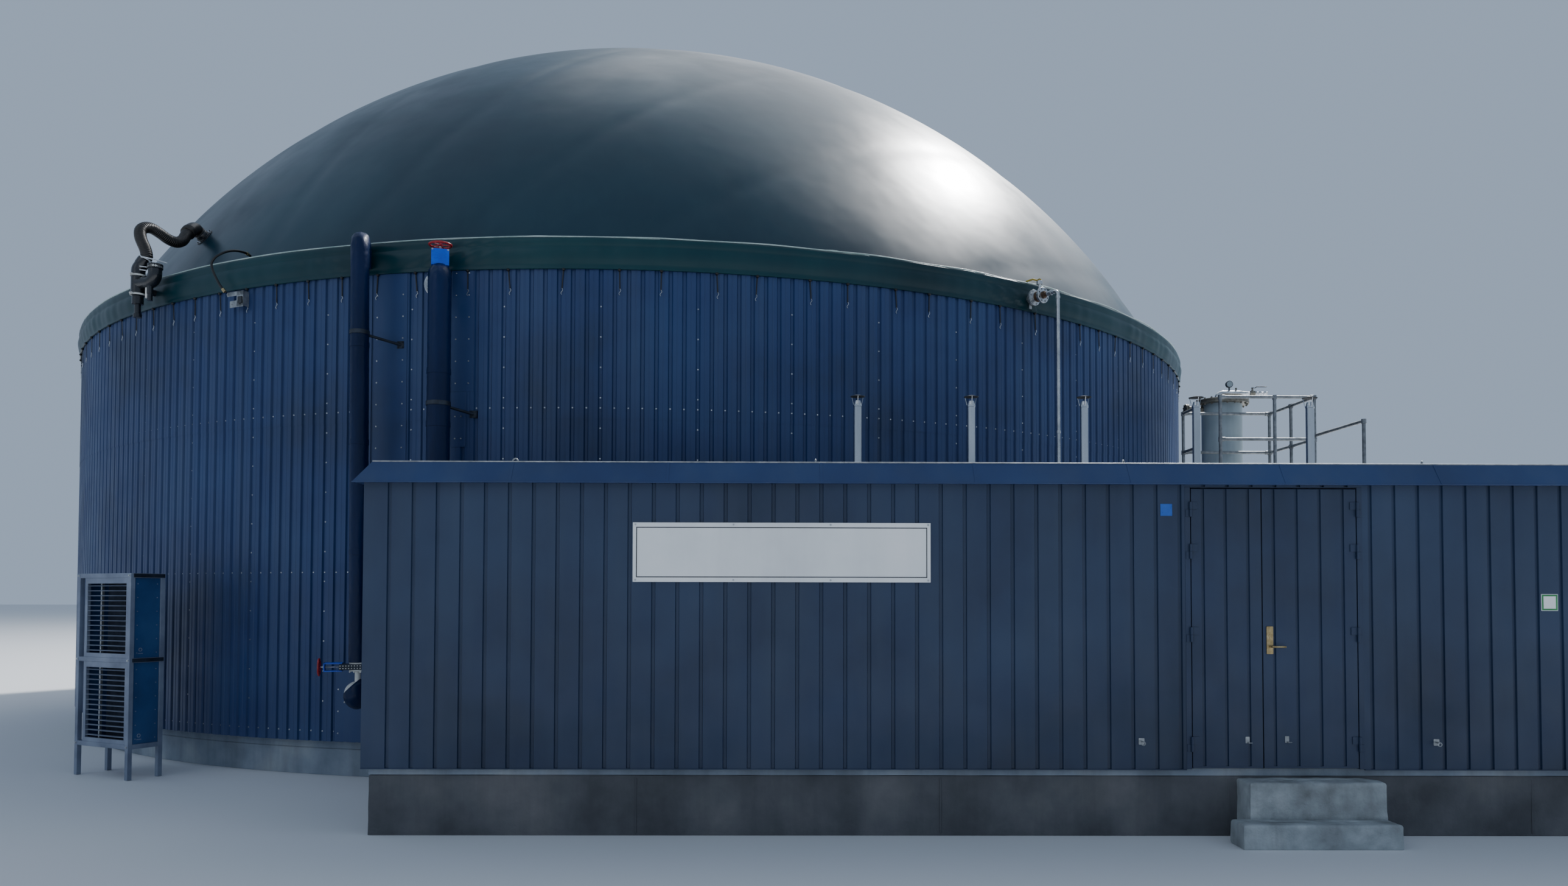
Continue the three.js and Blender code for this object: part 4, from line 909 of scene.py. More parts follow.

# Lifting eyes. Galvanised wire bows stand on the roof's front edge, on a washer each, behind the
# rolled bead that ends the fascia sheet. The bead is drawn in pale galvanised grey on the dark
# fascia: a painted highlight along its top edge.
EYE_PLACES = [0.060, 2.597, 5.205, 7.746, 10.290]
EYE_Y = HOUSE_FRONT + 0.100
EYE_RING_R, EYE_WIRE_R, EYE_LEG = 0.021, 0.006, 0.012
EYE_TURNS = [0.3, 1.35, 0.9, 1.2, 0.5]
EYE_BASE_R, EYE_BASE_HEIGHT = 0.030, 0.003
galvanised = finish(
    "galvanised_steel", ("7e8386", "999da0", "b2b6b8"), 14, (0.34, 0.52), 0.75, (180, 0.0004),
    ("6f6d69", 0.25)
)
bow_turn = np.linspace(0, np.pi, 17)[:, None]
eyes = []
for x, eye_turn in zip(EYE_PLACES, EYE_TURNS):
    across = np.array([math.cos(eye_turn), math.sin(eye_turn), 0])
    middle = np.array([x, EYE_Y, FASCIA_HEAD + EYE_LEG])
    bow = middle + EYE_RING_R * (np.cos(bow_turn) * across + np.sin(bow_turn) * [0, 0, 1])
    ends = EYE_RING_R * across - [0, 0, EYE_LEG]
    eyes.append(
        tube(
            np.concatenate([[middle + ends], bow, [middle - ends * [1, 1, -1]]]), EYE_WIRE_R, 10,
            (0, 1, 0),
        )
    )
    eyes.append(
        turned([(EYE_BASE_R, FASCIA_HEAD), (EYE_BASE_R, FASCIA_HEAD + EYE_BASE_HEIGHT)], 20, (x, EYE_Y, 0))
    )
piece("lifting_eyes", gather(*eyes), "plant", galvanised)
# Fascia bead: pale galvanised grey on the dark fascia, a painted highlight along its top edge.
FOLD_R, FOLD_LIFT = 0.006, 0.001
highlight_bead_ends = np.array([HOUSE_LEFT + FASCIA_IN, HOUSE_RIGHT - FASCIA_IN])[:, None] * [1, 0, 0]
highlight_bead_ends = highlight_bead_ends + [0, HOUSE_FRONT + FASCIA_IN, FASCIA_HEAD + FOLD_LIFT]
piece("fascia_bead_painted_highlight", rods(highlight_bead_ends[:1], highlight_bead_ends[1:], FOLD_R, 12), "plant", galvanised)

# Sign board and small plates. A bare white board with a thin dark line near its edge, and two
# small bare plates, screwed flat to the panels.
SIGN_LEFT, SIGN_RIGHT, SIGN_FOOT, SIGN_HEAD = 1.069, 3.553, 2.107, 2.603
SIGN_FACE = HOUSE_FRONT - 0.012
LINE_INSET, LINE_WIDTH, LINE_RISE = (0.028, 0.038), 0.008, 0.0008
SMALL_PLATE = (8.671, 8.811, 1.883, 2.022)
BLUE_PLATE = (5.481, 5.579, 2.670, 2.770)
sign_white = finish(
    "sign_white", ("dfe2e3", "e8ebec", "f0f1f1"), 1.3, (0.30, 0.42), 0, (200, 0.0001), ("b5b9b9", 0.20)
)
line_black = finish("sign_line", ("23272c", "2b3036", "343a40"), 3, (0.35, 0.5))
plate_blue = finish("plate_blue", ("1d4f9b", "2459ad", "2d66bd"), 6, (0.25, 0.4))
plate_green = finish("plate_green", ("2c7a45", "35894f", "40985a"), 6, (0.3, 0.45))


def edge_lines(left, right, foot, head, inset, width):
    """Four boxes as a thin frame inside a plate's edge, in by inset (sides, top and foot)."""
    x0, x1, z0, z1 = left + inset[0], right - inset[0], foot + inset[1], head - inset[1]
    return [(x0, x1, z0, z0 + width), (x0, x1, z1 - width, z1), (x0, x0 + width, z0 + width, z1 - width),
            (x1 - width, x1, z0 + width, z1 - width)]


def flat_plate(left, right, foot, head, face, thickness):
    """An upright plate's (x0, x1, y0, y1, z0, z1), its front at face."""
    return (left, right, face, face + thickness, foot, head)


board = piece(
    "sign_board_panel",
    blocks([flat_plate(SIGN_LEFT, SIGN_RIGHT, SIGN_FOOT, SIGN_HEAD, SIGN_FACE, 0.0118)]),
    "plant", sign_white, bevel=0.002,
)
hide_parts("sign_board")
sign_lines = [
    (x0, x1, SIGN_FACE - LINE_RISE, SIGN_FACE + 0.001, z0, z1)
    for x0, x1, z0, z1 in edge_lines(SIGN_LEFT, SIGN_RIGHT, SIGN_FOOT, SIGN_HEAD, LINE_INSET, LINE_WIDTH)
]
piece("sign_edge_line", blocks(sign_lines), "plant", line_black)
small_white = flat_plate(*SMALL_PLATE, HOUSE_FRONT - 0.004, 0.0045)
piece("small_white_plate", blocks([small_white]), "plant", sign_white, bevel=0.001)
green_lines = [
    (x0, x1, HOUSE_FRONT - 0.0048, HOUSE_FRONT - 0.003, z0, z1)
    for x0, x1, z0, z1 in edge_lines(*SMALL_PLATE, (0.004, 0.004), 0.014)
]
piece("small_plate_edge", blocks(green_lines), "plant", plate_green)
small_blue = flat_plate(*BLUE_PLATE, HOUSE_FRONT - 0.003, 0.0035)
piece("small_blue_plate", blocks([small_blue]), "plant", plate_blue, bevel=0.001)
sign_screw_x = np.array([1.091, 1.908, 2.718, 3.533] * 2)
sign_screw_z = np.repeat([SIGN_FOOT + 0.017, SIGN_HEAD - 0.017], 4)
sign_screws = np.stack([sign_screw_x, 0 * sign_screw_x + SIGN_FACE, sign_screw_z], -1)
piece("sign_screws", screws(sign_screws, FORWARD), "plant", bright_steel)

# Door frame. A folded steel frame with a rebate that the two leaves close against, painted like the
# walls. Each hinge's lower knuckle is welded to it on a bent strap.
LEAF_THICKNESS = 0.050
FRAME_DEPTH = 0.090
STOP_WIDTH = 0.018
LEAF_CLEARANCE = 0.008
DOOR_FOOT = 0.569
HINGE_OUT, HINGE_R, HINGE_HALF = 0.015, 0.0125, 0.062
HINGE_HEIGHTS = np.array([2.725, 2.372, 1.678, 0.768])
frame_left, frame_right = DOOR_LEFT - FRAME_WIDTH, DOOR_RIGHT + FRAME_WIDTH
stop_front = HOUSE_FRONT + LEAF_THICKNESS + 0.006
frame_back = HOUSE_FRONT + FRAME_DEPTH
frame_head = FRAME_HEAD - SEAM_GAP
frame_bars = blocks([
    (frame_left, DOOR_LEFT - SEAM_GAP, HOUSE_FRONT - 0.002, frame_back, FLOOR_TOP, frame_head),
    (DOOR_RIGHT + SEAM_GAP, frame_right, HOUSE_FRONT - 0.002, frame_back, FLOOR_TOP, frame_head),
    (DOOR_LEFT, DOOR_RIGHT, HOUSE_FRONT - 0.002, frame_back, DOOR_TOP + LEAF_CLEARANCE, frame_head),
    (DOOR_LEFT - 0.002, DOOR_LEFT + STOP_WIDTH, stop_front, frame_back, FLOOR_TOP, DOOR_TOP),
    (DOOR_RIGHT - STOP_WIDTH, DOOR_RIGHT + 0.002, stop_front, frame_back, FLOOR_TOP, DOOR_TOP),
    (
        DOOR_LEFT, DOOR_RIGHT, stop_front, frame_back, DOOR_TOP + LEAF_CLEARANCE - STOP_WIDTH,
        DOOR_TOP + 0.01,
    ),
])
door_coat = finish(
    "door_coat", ("19283f", "1f314c", "263957"), 0.9, (0.40, 0.56), 0.05, (140, 0.0004), ("4c5663", 0.18)
)


def hinge_parts(x, side, low, high, reach):
    """One half of every hinge on a side: knuckles and their flat straps, reaching to one side."""
    axis = np.stack([0 * HINGE_HEIGHTS + x, 0 * HINGE_HEIGHTS + HOUSE_FRONT - HINGE_OUT, HINGE_HEIGHTS], -1)
    knuckles = rods(axis + [0, 0, low], axis + [0, 0, high], HINGE_R, 16)
    inner, outer = sorted((x, x + side * reach))
    straps = [
        (inner, outer, HOUSE_FRONT - 0.008, HOUSE_FRONT - 0.001, z + low, z + high)
        for z in HINGE_HEIGHTS
    ]
    return gather(knuckles, blocks(straps))


frame_hinges = gather(
    hinge_parts(DOOR_LEFT, -1, -HINGE_HALF, -0.001, 0.038),
    hinge_parts(DOOR_RIGHT, 1, -HINGE_HALF, -0.001, 0.038),
)
door_frame = piece(
    "door_frame_bars", gather(frame_bars, frame_hinges), "plant", door_coat,
    bevel=0.0012,
)
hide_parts("door_frame")

# Door leaves. Insulated leaves with the walls' grooves, a plain edge profile all round, and the
# upper hinge knuckles. The wide leaf carries the brass-coloured handle plate with its cylinder.
LEAF_GROOVE_WIDTH, LEAF_GROOVE_DEPTH = 0.028, 0.014
LEAF_EDGE = 0.004
LEAVES = {
    "door_leaf_narrow": (
        DOOR_LEFT + LEAF_CLEARANCE, DOOR_MEETING - 0.005, [5.835, 6.024, 6.213], "narrow_leaf"
    ),
    "door_leaf_wide": (
        DOOR_MEETING + 0.005, DOOR_RIGHT - LEAF_CLEARANCE, [6.427, 6.621, 6.815, 7.009], "wide_leaf"
    ),
}
leaf_back = HOUSE_FRONT + LEAF_THICKNESS


def grooved_leaf(first, last, grooves):
    """A leaf as six-point sections along its width: plain edge, grooved face, plain back."""
    place, sunk = grooved(first, last, grooves, LEAF_GROOVE_DEPTH, LEAF_GROOVE_WIDTH)
    front = HOUSE_FRONT + sunk
    edge = LEAF_EDGE
    section = [
        (front, DOOR_FOOT + edge), (front, DOOR_TOP - edge), (0 * front + HOUSE_FRONT + edge, DOOR_TOP),
        (0 * front + leaf_back, DOOR_TOP), (0 * front + leaf_back, DOOR_FOOT),
        (0 * front + HOUSE_FRONT + edge, DOOR_FOOT),
    ]
    rows = [np.stack([place, np.maximum(depth, HOUSE_FRONT), z + 0 * place], -1) for depth, z in section]
    return skin(np.stack(rows, 1))


for leaf_name, (first, last, grooves, leaf_body) in LEAVES.items():
    hinge_x, side = (DOOR_LEFT, 1) if leaf_body == "narrow_leaf" else (DOOR_RIGHT, -1)
    leaf_shape = gather(
        grooved_leaf(first, last, grooves),
        hinge_parts(hinge_x, side, 0.0, HINGE_HALF, 0.060),
        blocks([(first, last, HOUSE_FRONT - 0.001, HOUSE_FRONT + 0.01, DOOR_FOOT, DOOR_FOOT + 0.016)]),
    )
    leaf = piece(leaf_name + "_panel", leaf_shape, leaf_body, door_coat, 20, bevel=0.0008)
    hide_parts(leaf_name)

seal_black = finish("seal_rubber", ("0a0b0d", "101215", "17191c"), 10, (0.55, 0.75))
meeting_seal = blocks([
    (
        DOOR_MEETING - 0.0035, DOOR_MEETING + 0.0035, HOUSE_FRONT + 0.012, leaf_back - 0.002,
        DOOR_FOOT, DOOR_TOP - 0.002,
    )
])
piece("door_meeting_seal", meeting_seal, "wide_leaf", seal_black)

# Handle. A long brass-coloured plate on the wide leaf, with the lock cylinder in its upper half and
# below that the lever's rose and a round bar lever that turns down.
PLATE_LEFT, PLATE_RIGHT, PLATE_FOOT, PLATE_HEAD = 6.359, 6.414, 1.517, 1.748
PLATE_FACE = HOUSE_FRONT - 0.0085
LEVER_X, LEVER_Z = 6.390, 1.579
brass_metal = finish(
    "worn_brass", ("8f7d57", "a8946a", "c2b08a"), 22, (0.24, 0.42), 0.85, (240, 0.0002), ("5d5444", 0.25)
)


def rounded_plate(x0, x1, z0, z1, face, back, corner, steps=6):
    """A flat plate with round corners, standing in the XZ plane, as outline rings front to back."""
    turn = np.linspace(0, np.pi / 2, steps)
    middles = [(x1 - corner, z1 - corner, 0), (x0 + corner, z1 - corner, 1), (x0 + corner, z0 + corner, 2),
               (x1 - corner, z0 + corner, 3)]
    outline = np.concatenate([
        np.stack(
            [cx + corner * np.cos(turn + k * np.pi / 2), cz + corner * np.sin(turn + k * np.pi / 2)],
            -1,
        )
        for cx, cz, k in middles
    ])
    rows = [np.stack([outline[:, 0], y + 0 * outline[:, 0], outline[:, 1]], -1) for y in (face, back)]
    return skin(np.stack(rows))


handle_plate = gather(
    rounded_plate(PLATE_LEFT, PLATE_RIGHT, PLATE_FOOT, PLATE_HEAD, PLATE_FACE, HOUSE_FRONT - 0.0005, 0.006),
    rods((6.388, PLATE_FACE - 0.004, 1.671), (6.388, PLATE_FACE + 0.002, 1.671), 0.0105, 20),
    blocks([(6.3835, 6.3925, PLATE_FACE - 0.0035, PLATE_FACE + 0.002, 1.640, 1.668)]),
    rods((LEVER_X, PLATE_FACE - 0.0002, LEVER_Z), (LEVER_X, PLATE_FACE + 0.002, LEVER_Z), 0.019, 24),
)
piece("handle_plate", handle_plate, "wide_leaf", brass_metal, bevel=0.0006)
lever_turn = np.linspace(0, np.pi / 2, 7)
lever_bend = 0.014
lever_path = np.concatenate([
    [(LEVER_X, HOUSE_FRONT - 0.0088, LEVER_Z)],
    np.stack([
        LEVER_X + lever_bend * (1 - np.cos(lever_turn)),
        HOUSE_FRONT - 0.054 + lever_bend * (1 - np.sin(lever_turn)), LEVER_Z + 0 * lever_turn,
    ], -1),
    [
        (6.480, HOUSE_FRONT - 0.054, LEVER_Z), (6.498, HOUSE_FRONT - 0.053, LEVER_Z),
        (6.502, HOUSE_FRONT - 0.052, LEVER_Z),
    ],
])
lever_radius = np.array([0.010] + [0.0095] * 7 + [0.0092, 0.008, 0.005])
door_lever = piece(
    "door_lever_bar", tube(lever_path, lever_radius, 16, (0, 0, 1)), "lever_handle",
    brass_metal, 50
)
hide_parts("door_lever")

# Wall hooks. Small galvanised plates with an eye on the walls beside the door, and with a peg on
# each leaf, hold the leaves open.
HOOK_SPOTS = [(5.308, 0.790), (7.772, 0.785)]
wall_hooks = []
for x, z in HOOK_SPOTS:
    wall_hooks.append(
        rounded_plate(x - 0.024, x + 0.024, z - 0.027, z + 0.027, HOUSE_FRONT - 0.004, HOUSE_FRONT, 0.005)
    )
    wall_hooks.append(rods((x, HOUSE_FRONT, z), (x, HOUSE_FRONT - 0.050, z), 0.006, 10))
    loop = [x, HOUSE_FRONT - 0.050, z - 0.012] + around(0.016, spread(16), 0)[:, [0, 2, 1]]
    wall_hooks.append(tube(loop, 0.0045, 8, (0, 1, 0), ring=True))
piece("wall_hooks", gather(*wall_hooks), "plant", galvanised, bevel=0.0008)
for leaf_name, x, z in (("narrow_leaf", 6.193, 0.803), ("wide_leaf", 6.523, 0.808)):
    peg = (x + 0.004, HOUSE_FRONT - 0.028, z - 0.022)
    catch = gather(
        rounded_plate(x - 0.017, x + 0.017, z - 0.027, z + 0.027, HOUSE_FRONT - 0.004, HOUSE_FRONT, 0.004),
        rods((peg[0], HOUSE_FRONT, peg[2]), peg, 0.005, 10),
        rods(peg, (x + 0.030, peg[1], peg[2]), 0.004, 8),
    )
    piece(f"{leaf_name}_catch_plate", catch, leaf_name, galvanised, bevel=0.0008)

# Steps. Two loose cast blocks lead up to the door. The upper one has lost a piece of its front
# edge, and both are stained and rough.
UPPER_STEP = (6.120, 7.230, -12.300, -12.0364, 0.0, 0.483)
LOWER_STEP = (5.960, 7.220, -12.550, -12.3004, 0.0, 0.193)
CHIP_FROM, CHIP_TO, CHIP_DEPTH, CHIP_REACH = 6.50, 6.72, 0.030, 0.06


def chipped(shape, first, last, front, top_edge, depth):
    """Points near an upper front edge drawn in and down, most in the middle of the broken part."""
    points, quads, tris = shape
    points = points.copy()
    along = np.clip((points[:, 0] - first) / (last - first), 0, 1)
    near_top = np.clip(1 - (top_edge - points[:, 2]) / CHIP_REACH, 0, 1)
    near = near_top * np.clip(1 - (points[:, 1] - front) / CHIP_REACH, 0, 1)
    bite = depth * np.sin(np.pi * along) * near * (0.75 + 0.25 * np.sin(points[:, 0] * 70))
    points[:, 1] += bite
    points[:, 2] -= bite * 0.8
    return points, quads, tris


step_concrete = finish(
    "step_concrete", ("787d7e", "9ba3a6", "c0c7c9"), 3.2, (0.80, 0.95), grain=(55, 0.005),
    dirt=("4a4640", 0.5)
)
relief(step_concrete, noise_of(step_concrete.node_tree, 16, (1, 1, 1), 4), 0.006)
upper_step = chipped(
    cast_block(*UPPER_STEP, 0.022, 0.018, 0.0025, 31), CHIP_FROM, CHIP_TO, UPPER_STEP[2],
    UPPER_STEP[5], CHIP_DEPTH,
)
made = piece("step_upper_block", upper_step, "plant", step_concrete, 60)
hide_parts("step_upper")
made = piece(
    "step_lower_block", cast_block(*LOWER_STEP, 0.020, 0.018, 0.0025, 37), "plant",
    step_concrete, 60,
)
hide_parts("step_lower")

# Roof vents. Five bright stainless flues stand in a row behind the roof's front edge. Each has a
# cone flashing at its foot and a flat conical hat on short legs over its mouth.
VENTS_X = [3.070, 4.200, 5.325, 6.445, 7.580]
VENT_Y, VENT_R, VENT_WALL = -10.400, 0.039, 0.0015
VENT_RING, VENT_MOUTH, MOUTH_R = 3.889, 3.938, 0.028
HAT_RIM, HAT_TOP, HAT_R = 3.982, 3.996, 0.072
ROOF_TOP = 3.060
vent_steel = finish(
    "vent_stainless", ("b4b8bb", "c6c9cc", "d9dbdd"), 5, (0.10, 0.24), 0.95, (200, 0.0002),
    stretch=(1, 1, 0.2)
)
hats = []
for number, x in enumerate(VENTS_X, 1):
    spot = (x, VENT_Y, 0)
    flue = turned([
        (0.073, ROOF_TOP), (0.073, ROOF_TOP + 0.006), (0.068, ROOF_TOP + 0.010),
        (VENT_R + 0.002, ROOF_TOP + 0.056), (VENT_R + 0.002, ROOF_TOP + 0.068),
        (VENT_R, ROOF_TOP + 0.070), (VENT_R, VENT_RING - 0.012),
        (VENT_R + 0.003, VENT_RING - 0.010), (VENT_R + 0.003, VENT_RING + 0.010),
        (VENT_R - 0.001, VENT_RING + 0.012),
        (MOUTH_R, VENT_MOUTH), (MOUTH_R - VENT_WALL, VENT_MOUTH), (MOUTH_R - VENT_WALL, VENT_MOUTH - 0.30),
    ], 40, spot)
    hat = turned(
        [(HAT_R, HAT_RIM - 0.005), (HAT_R, HAT_RIM), (0.030, HAT_TOP - 0.004), (0.008, HAT_TOP)],
        40, spot,
    )
    leg_way = around(1, spread(3) + 0.5, 0)
    leg_bars = rods(
        spot + leg_way * (VENT_R + 0.002) + [0, 0, VENT_RING],
        spot + leg_way * (HAT_R - 0.008) + [0, 0, HAT_RIM], 0.0035, 6
    )
    hats.append(hat)
    vent = piece(f"roof_vent_{number}_flue", gather(flue, leg_bars), "plant", vent_steel)
    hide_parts(f"roof_vent_{number}")
piece("roof_vent_hats", gather(*hats), "plant", roof_coat)

# Risers. Two insulated slurry pipes stand before the cladding and turn in under the rim. Black
# sheeting is wrapped over their lagging in lengths, puckered at the bends and taped at the joints.
LEFT_RISER, LEFT_RISER_R = np.array([-2.188, -9.620]), 0.095
LEFT_FOOT = np.array([-2.148, -9.620])
RIGHT_RISER, RIGHT_RISER_R = np.array([-1.296, -9.740]), 0.1205
RUN_ANGLE = math.radians(16.5)
RUN_WAY = np.array([-math.sin(RUN_ANGLE), math.cos(RUN_ANGLE)])
RUN_SIDE = (RUN_WAY[1], -RUN_WAY[0], 0)
LEFT_HEAD, RIGHT_HEAD, HOUSE_RUN_Z = 5.808, 5.42, 2.10
LEFT_JOINTS, RIGHT_JOINTS = [2.45, 3.62, 4.66], [2.75, 3.794, 4.351]
pipe_jacket = finish(
    "pipe_jacket", ("021129", "03183a", "07234c"), 1.8, (0.30, 0.46), 0, (70, 0.0012),
    ("14305a", 0.25), (1, 1, 0.25)
)
lacquer(pipe_jacket, 0.04, 0.18, 0.2)
relief(pipe_jacket, noise_of(pipe_jacket.node_tree, 9, (1, 1, 0.35), 3), 0.012)


def standing(axis, steps):
    """Points at a riser from pairs of (distance from its axis toward the tank, height)."""
    steps = np.asarray(steps, float)
    return np.concatenate([axis + RUN_WAY * steps[:, :1], steps[:, 1:]], -1)


def length_along(path):
    """How far along a path each of its points lies."""
    return np.concatenate([[0], np.cumsum(np.linalg.norm(np.diff(path, axis=0), axis=1))])


def at_lengths(path, places):
    """Points at given lengths along a path."""
    along = length_along(path)
    return np.stack([np.interp(places, along, path[:, i]) for i in range(3)], -1)


def bent(corners, bend, spacing=0.02):
    """A path through corners, with an arc of radius bend at each. An arc is the rational curve
    (sum of Bernstein weights times start, corner, end), the corner weighted by the half turn."""
    corners = np.asarray(corners, float)
    path = [corners[:1]]
    t = np.linspace(0, 1, 9)[:, None]
    for before, corner, after in zip(corners, corners[1:], corners[2:]):
        back, onward = unit(before - corner), unit(after - corner)
        half = math.acos(np.clip(back @ onward, -1, 1)) / 2
        reach = bend / math.tan(half)
        pull = 2 * math.sin(half) * t * (1 - t)
        ends = (1 - t) ** 2 * (corner + back * reach) + t ** 2 * (corner + onward * reach)
        path.append((ends + pull * corner) / ((1 - t) ** 2 + pull + t ** 2))
    path = np.concatenate(path + [corners[-1:]])
    length = length_along(path)[-1]
    return at_lengths(path, np.linspace(0, length, int(length / spacing) + 2))


def jacket(path, radius, side, seed, depth=0.007, sides=48):
    """Sheeting round a pipe: a tube whose radius swells by a sum of waves over (length, girth), by
    a fifth of depth on straight runs and by all of it where the path turns."""
    along = length_along(path)
    girth = around(radius, spread(sides), 0)[:, :2]
    grid = np.concatenate([
        np.broadcast_to(along[:, None, None], (len(path), sides, 1)),
        np.broadcast_to(girth[None] * 0.45, (len(path), sides, 2)),
    ], -1)
    way = unit(np.gradient(path, axis=0))
    turning = np.linalg.norm(np.gradient(way, axis=0), axis=1) / np.gradient(along)
    reach = np.convolve(turning, np.ones(9) / 9, "same")
    share = np.clip(0.2 + reach * 0.14, 0.2, 1)[:, None]
    swell = ripple(grid, seed, 0.060) + 0.6 * ripple(grid, seed + 1, 0.028)
    return tube(path, radius + depth * share * swell * 0.5, sides, side)


def taped_joints(foot, top, radius, heights):
    """Flat tape rings round a riser at the joints of its sheeting, its axis from foot to top."""
    ring = [
        (radius - 0.02, -0.030), (radius + 0.004, -0.028), (radius + 0.004, 0.028),
        (radius - 0.02, 0.030),
    ]
    places = [foot + (top - foot) * (z - foot[2]) / (top[2] - foot[2]) for z in heights]
    return gather(*[turned(ring, 48, place, ring=True) for place in places])


left_foot, left_top = np.array([*LEFT_FOOT, 1.290]), np.array([*LEFT_RISER, LEFT_HEAD])
left_path = bent(
    [left_foot, *standing(LEFT_RISER, [(0, LEFT_HEAD), (0.279, 5.816), (0.300, 5.573)])], 0.129
)
right_path = bent(standing(RIGHT_RISER, [(0, 1.90), (0, RIGHT_HEAD), (0.352, RIGHT_HEAD)]), 0.150)
left_riser = piece(
    "riser_left_jacket",
    gather(
        jacket(left_path, LEFT_RISER_R, RUN_SIDE, 51),
        taped_joints(left_foot, left_top, LEFT_RISER_R, LEFT_JOINTS),
    ),
    "plant", pipe_jacket, 60,
)
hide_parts("riser_left")
right_riser = piece(
    "riser_right_jacket",
    gather(
        jacket(right_path, RIGHT_RISER_R, RUN_SIDE, 57),
        taped_joints(right_path[0], right_path[0] + [0, 0, 1], RIGHT_RISER_R, RIGHT_JOINTS),
        rods(
            (*RIGHT_RISER, HOUSE_RUN_Z), (HOUSE_LEFT - 0.0004, RIGHT_RISER[1], HOUSE_RUN_Z),
            RIGHT_RISER_R * 0.7, 32,
        ),
    ),
    "plant", pipe_jacket, 60,
)
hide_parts("riser_right")

# Riser brackets. A thin arm with a split collar holds each riser off the wall, bolted through a
# small plate. All of it is drawn dark: partly darker steel, partly painted shade on the arms.
ARM_R = 0.015
COLLAR_HALF = 0.022
BRACKETS = {  # axis, radius, arm height, degree and height on the wall
    "riser_bracket_left": (LEFT_RISER + [0.0088, 0], LEFT_RISER_R, 4.790, -101.2, 4.730),
    "riser_bracket_right": (RIGHT_RISER, RIGHT_RISER_R, 4.010, -96.1, 3.950),
}
# Dark steel. On the riser brackets this dark colour is partly painted shade.
dark_steel_and_painted_shade = finish(
    "dark_steel_and_painted_shade", ("1a2029", "242c38", "313b49"), 10, (0.40, 0.60), 0.3, (160, 0.0004), ("4a4f55", 0.2)
)


def placed(shape, origin, x_way=(1, 0, 0), y_way=(0, 1, 0), z_way=(0, 0, 1)):
    """A skin moved to an origin, with its own axes laid along three given directions."""
    points, quads, tris = shape
    return points @ np.array([x_way, y_way, z_way], float) + np.asarray(origin, float), quads, tris


def facing(degree):
    """Directions at a place on the tank: along its face to the right, and inward."""
    angle = math.radians(degree)
    return (-math.sin(angle), math.cos(angle), 0), (-math.cos(angle), -math.sin(angle), 0)


def on_tank(shape, degree, origin=(0, 0, 0)):
    """A skin turned to a place on the tank: x along its face to the right, y inward."""
    return placed(shape, origin, *facing(degree))


for bracket_name, (axis, radius, height, degree, wall_height) in BRACKETS.items():
    wall_point = around(CLADDING_OUTSIDE, math.radians(degree), wall_height)
    arm_way = unit(wall_point - [*axis, height])
    arm = rods(np.array([*axis, height]) + arm_way * (radius + 0.004), wall_point, ARM_R, 16)
    collar = turned([
        (radius + 0.001, -COLLAR_HALF), (radius + 0.007, -COLLAR_HALF), (radius + 0.007, COLLAR_HALF),
        (radius + 0.001, COLLAR_HALF),
    ], 48, (*axis, height), ring=True)
    plate_bolts = [(x, -0.010, z) for x in (-0.027, 0.027) for z in (-0.027, 0.027)]
    wall_plate = gather(
        blocks([(-0.040, 0.040, -0.008, 0.020, -0.040, 0.040)]),
        screws(np.array(plate_bolts), FORWARD, 0.011, 0.007),
    )
    # The brackets' dark colour is partly darker steel and partly painted shade.
    bracket = piece(
        bracket_name + "_arm", gather(arm, collar, on_tank(wall_plate, degree, wall_point)),
        "plant", dark_steel_and_painted_shade, bevel=0.0008,
    )
    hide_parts(bracket_name)

# Low valve. A knife gate valve at the left riser's foot: flanges with through bolts, drawn
# near-white as a painted highlight of sun on bare steel, a dark studded housing, a blue yoke of two
# long plates round the bright stem, and a red handwheel.
VALVE_Z = 1.243
FLANGE_R, FLANGE_BOLT_R = 0.088, 0.083
FLANGE_FOOT, GATE_FOOT, GATE_HEAD, FLANGE_HEAD = 1.197, 1.213, 1.273, 1.289
VALVE_BOLTS = 8
LOW_WHEEL_OUT, LOW_WHEEL_R = 0.380, 0.096
WHEEL_RIM = 0.012
valve_blue = finish(
    "valve_blue", ("0246c0", "0652d4", "1262e0"), 7, (0.22, 0.38), 0, (160, 0.0003), ("1c4a98", 0.15)
)
wheel_red = finish(
    "wheel_red", ("7c0d14", "9c1119", "b31c24"), 9, (0.18, 0.32), 0, (140, 0.0003)
)
# Bare steel drawn near-white and not metallic: a painted highlight of sun on the steel.
steel_painted_highlight = finish(
    "bare_steel_painted_highlight", ("d9d9d2", "e8e8e2", "f2f2ee"), 12, (0.30, 0.46), 0, (160, 0.0003), ("8b8578", 0.4)
)


def bolt_ring(radius, count, low, high, size):
    """Through bolts on a circle about the vertical axis: a bar with a nut at both ends."""
    foot = around(radius, spread(count) + np.pi / count, 0)
    up = np.array([0, 0, 1.0])
    return gather(
        rods(foot + up * (low - size * 1.5), foot + up * (high + size * 1.5), size * 0.6, 8),
        rods(foot + up * (low - size), foot + up * (low + 0.0004), size, 6),
        rods(foot + up * (high - 0.0004), foot + up * (high + size), size, 6),
    )


def disc_flange(radius, low, high, edge=0.003):
    """A flat round flange about the vertical axis with its edges broken."""
    return turned(
        [(radius - edge, low), (radius, low + edge), (radius, high - edge), (radius - edge, high)], 48,
    )


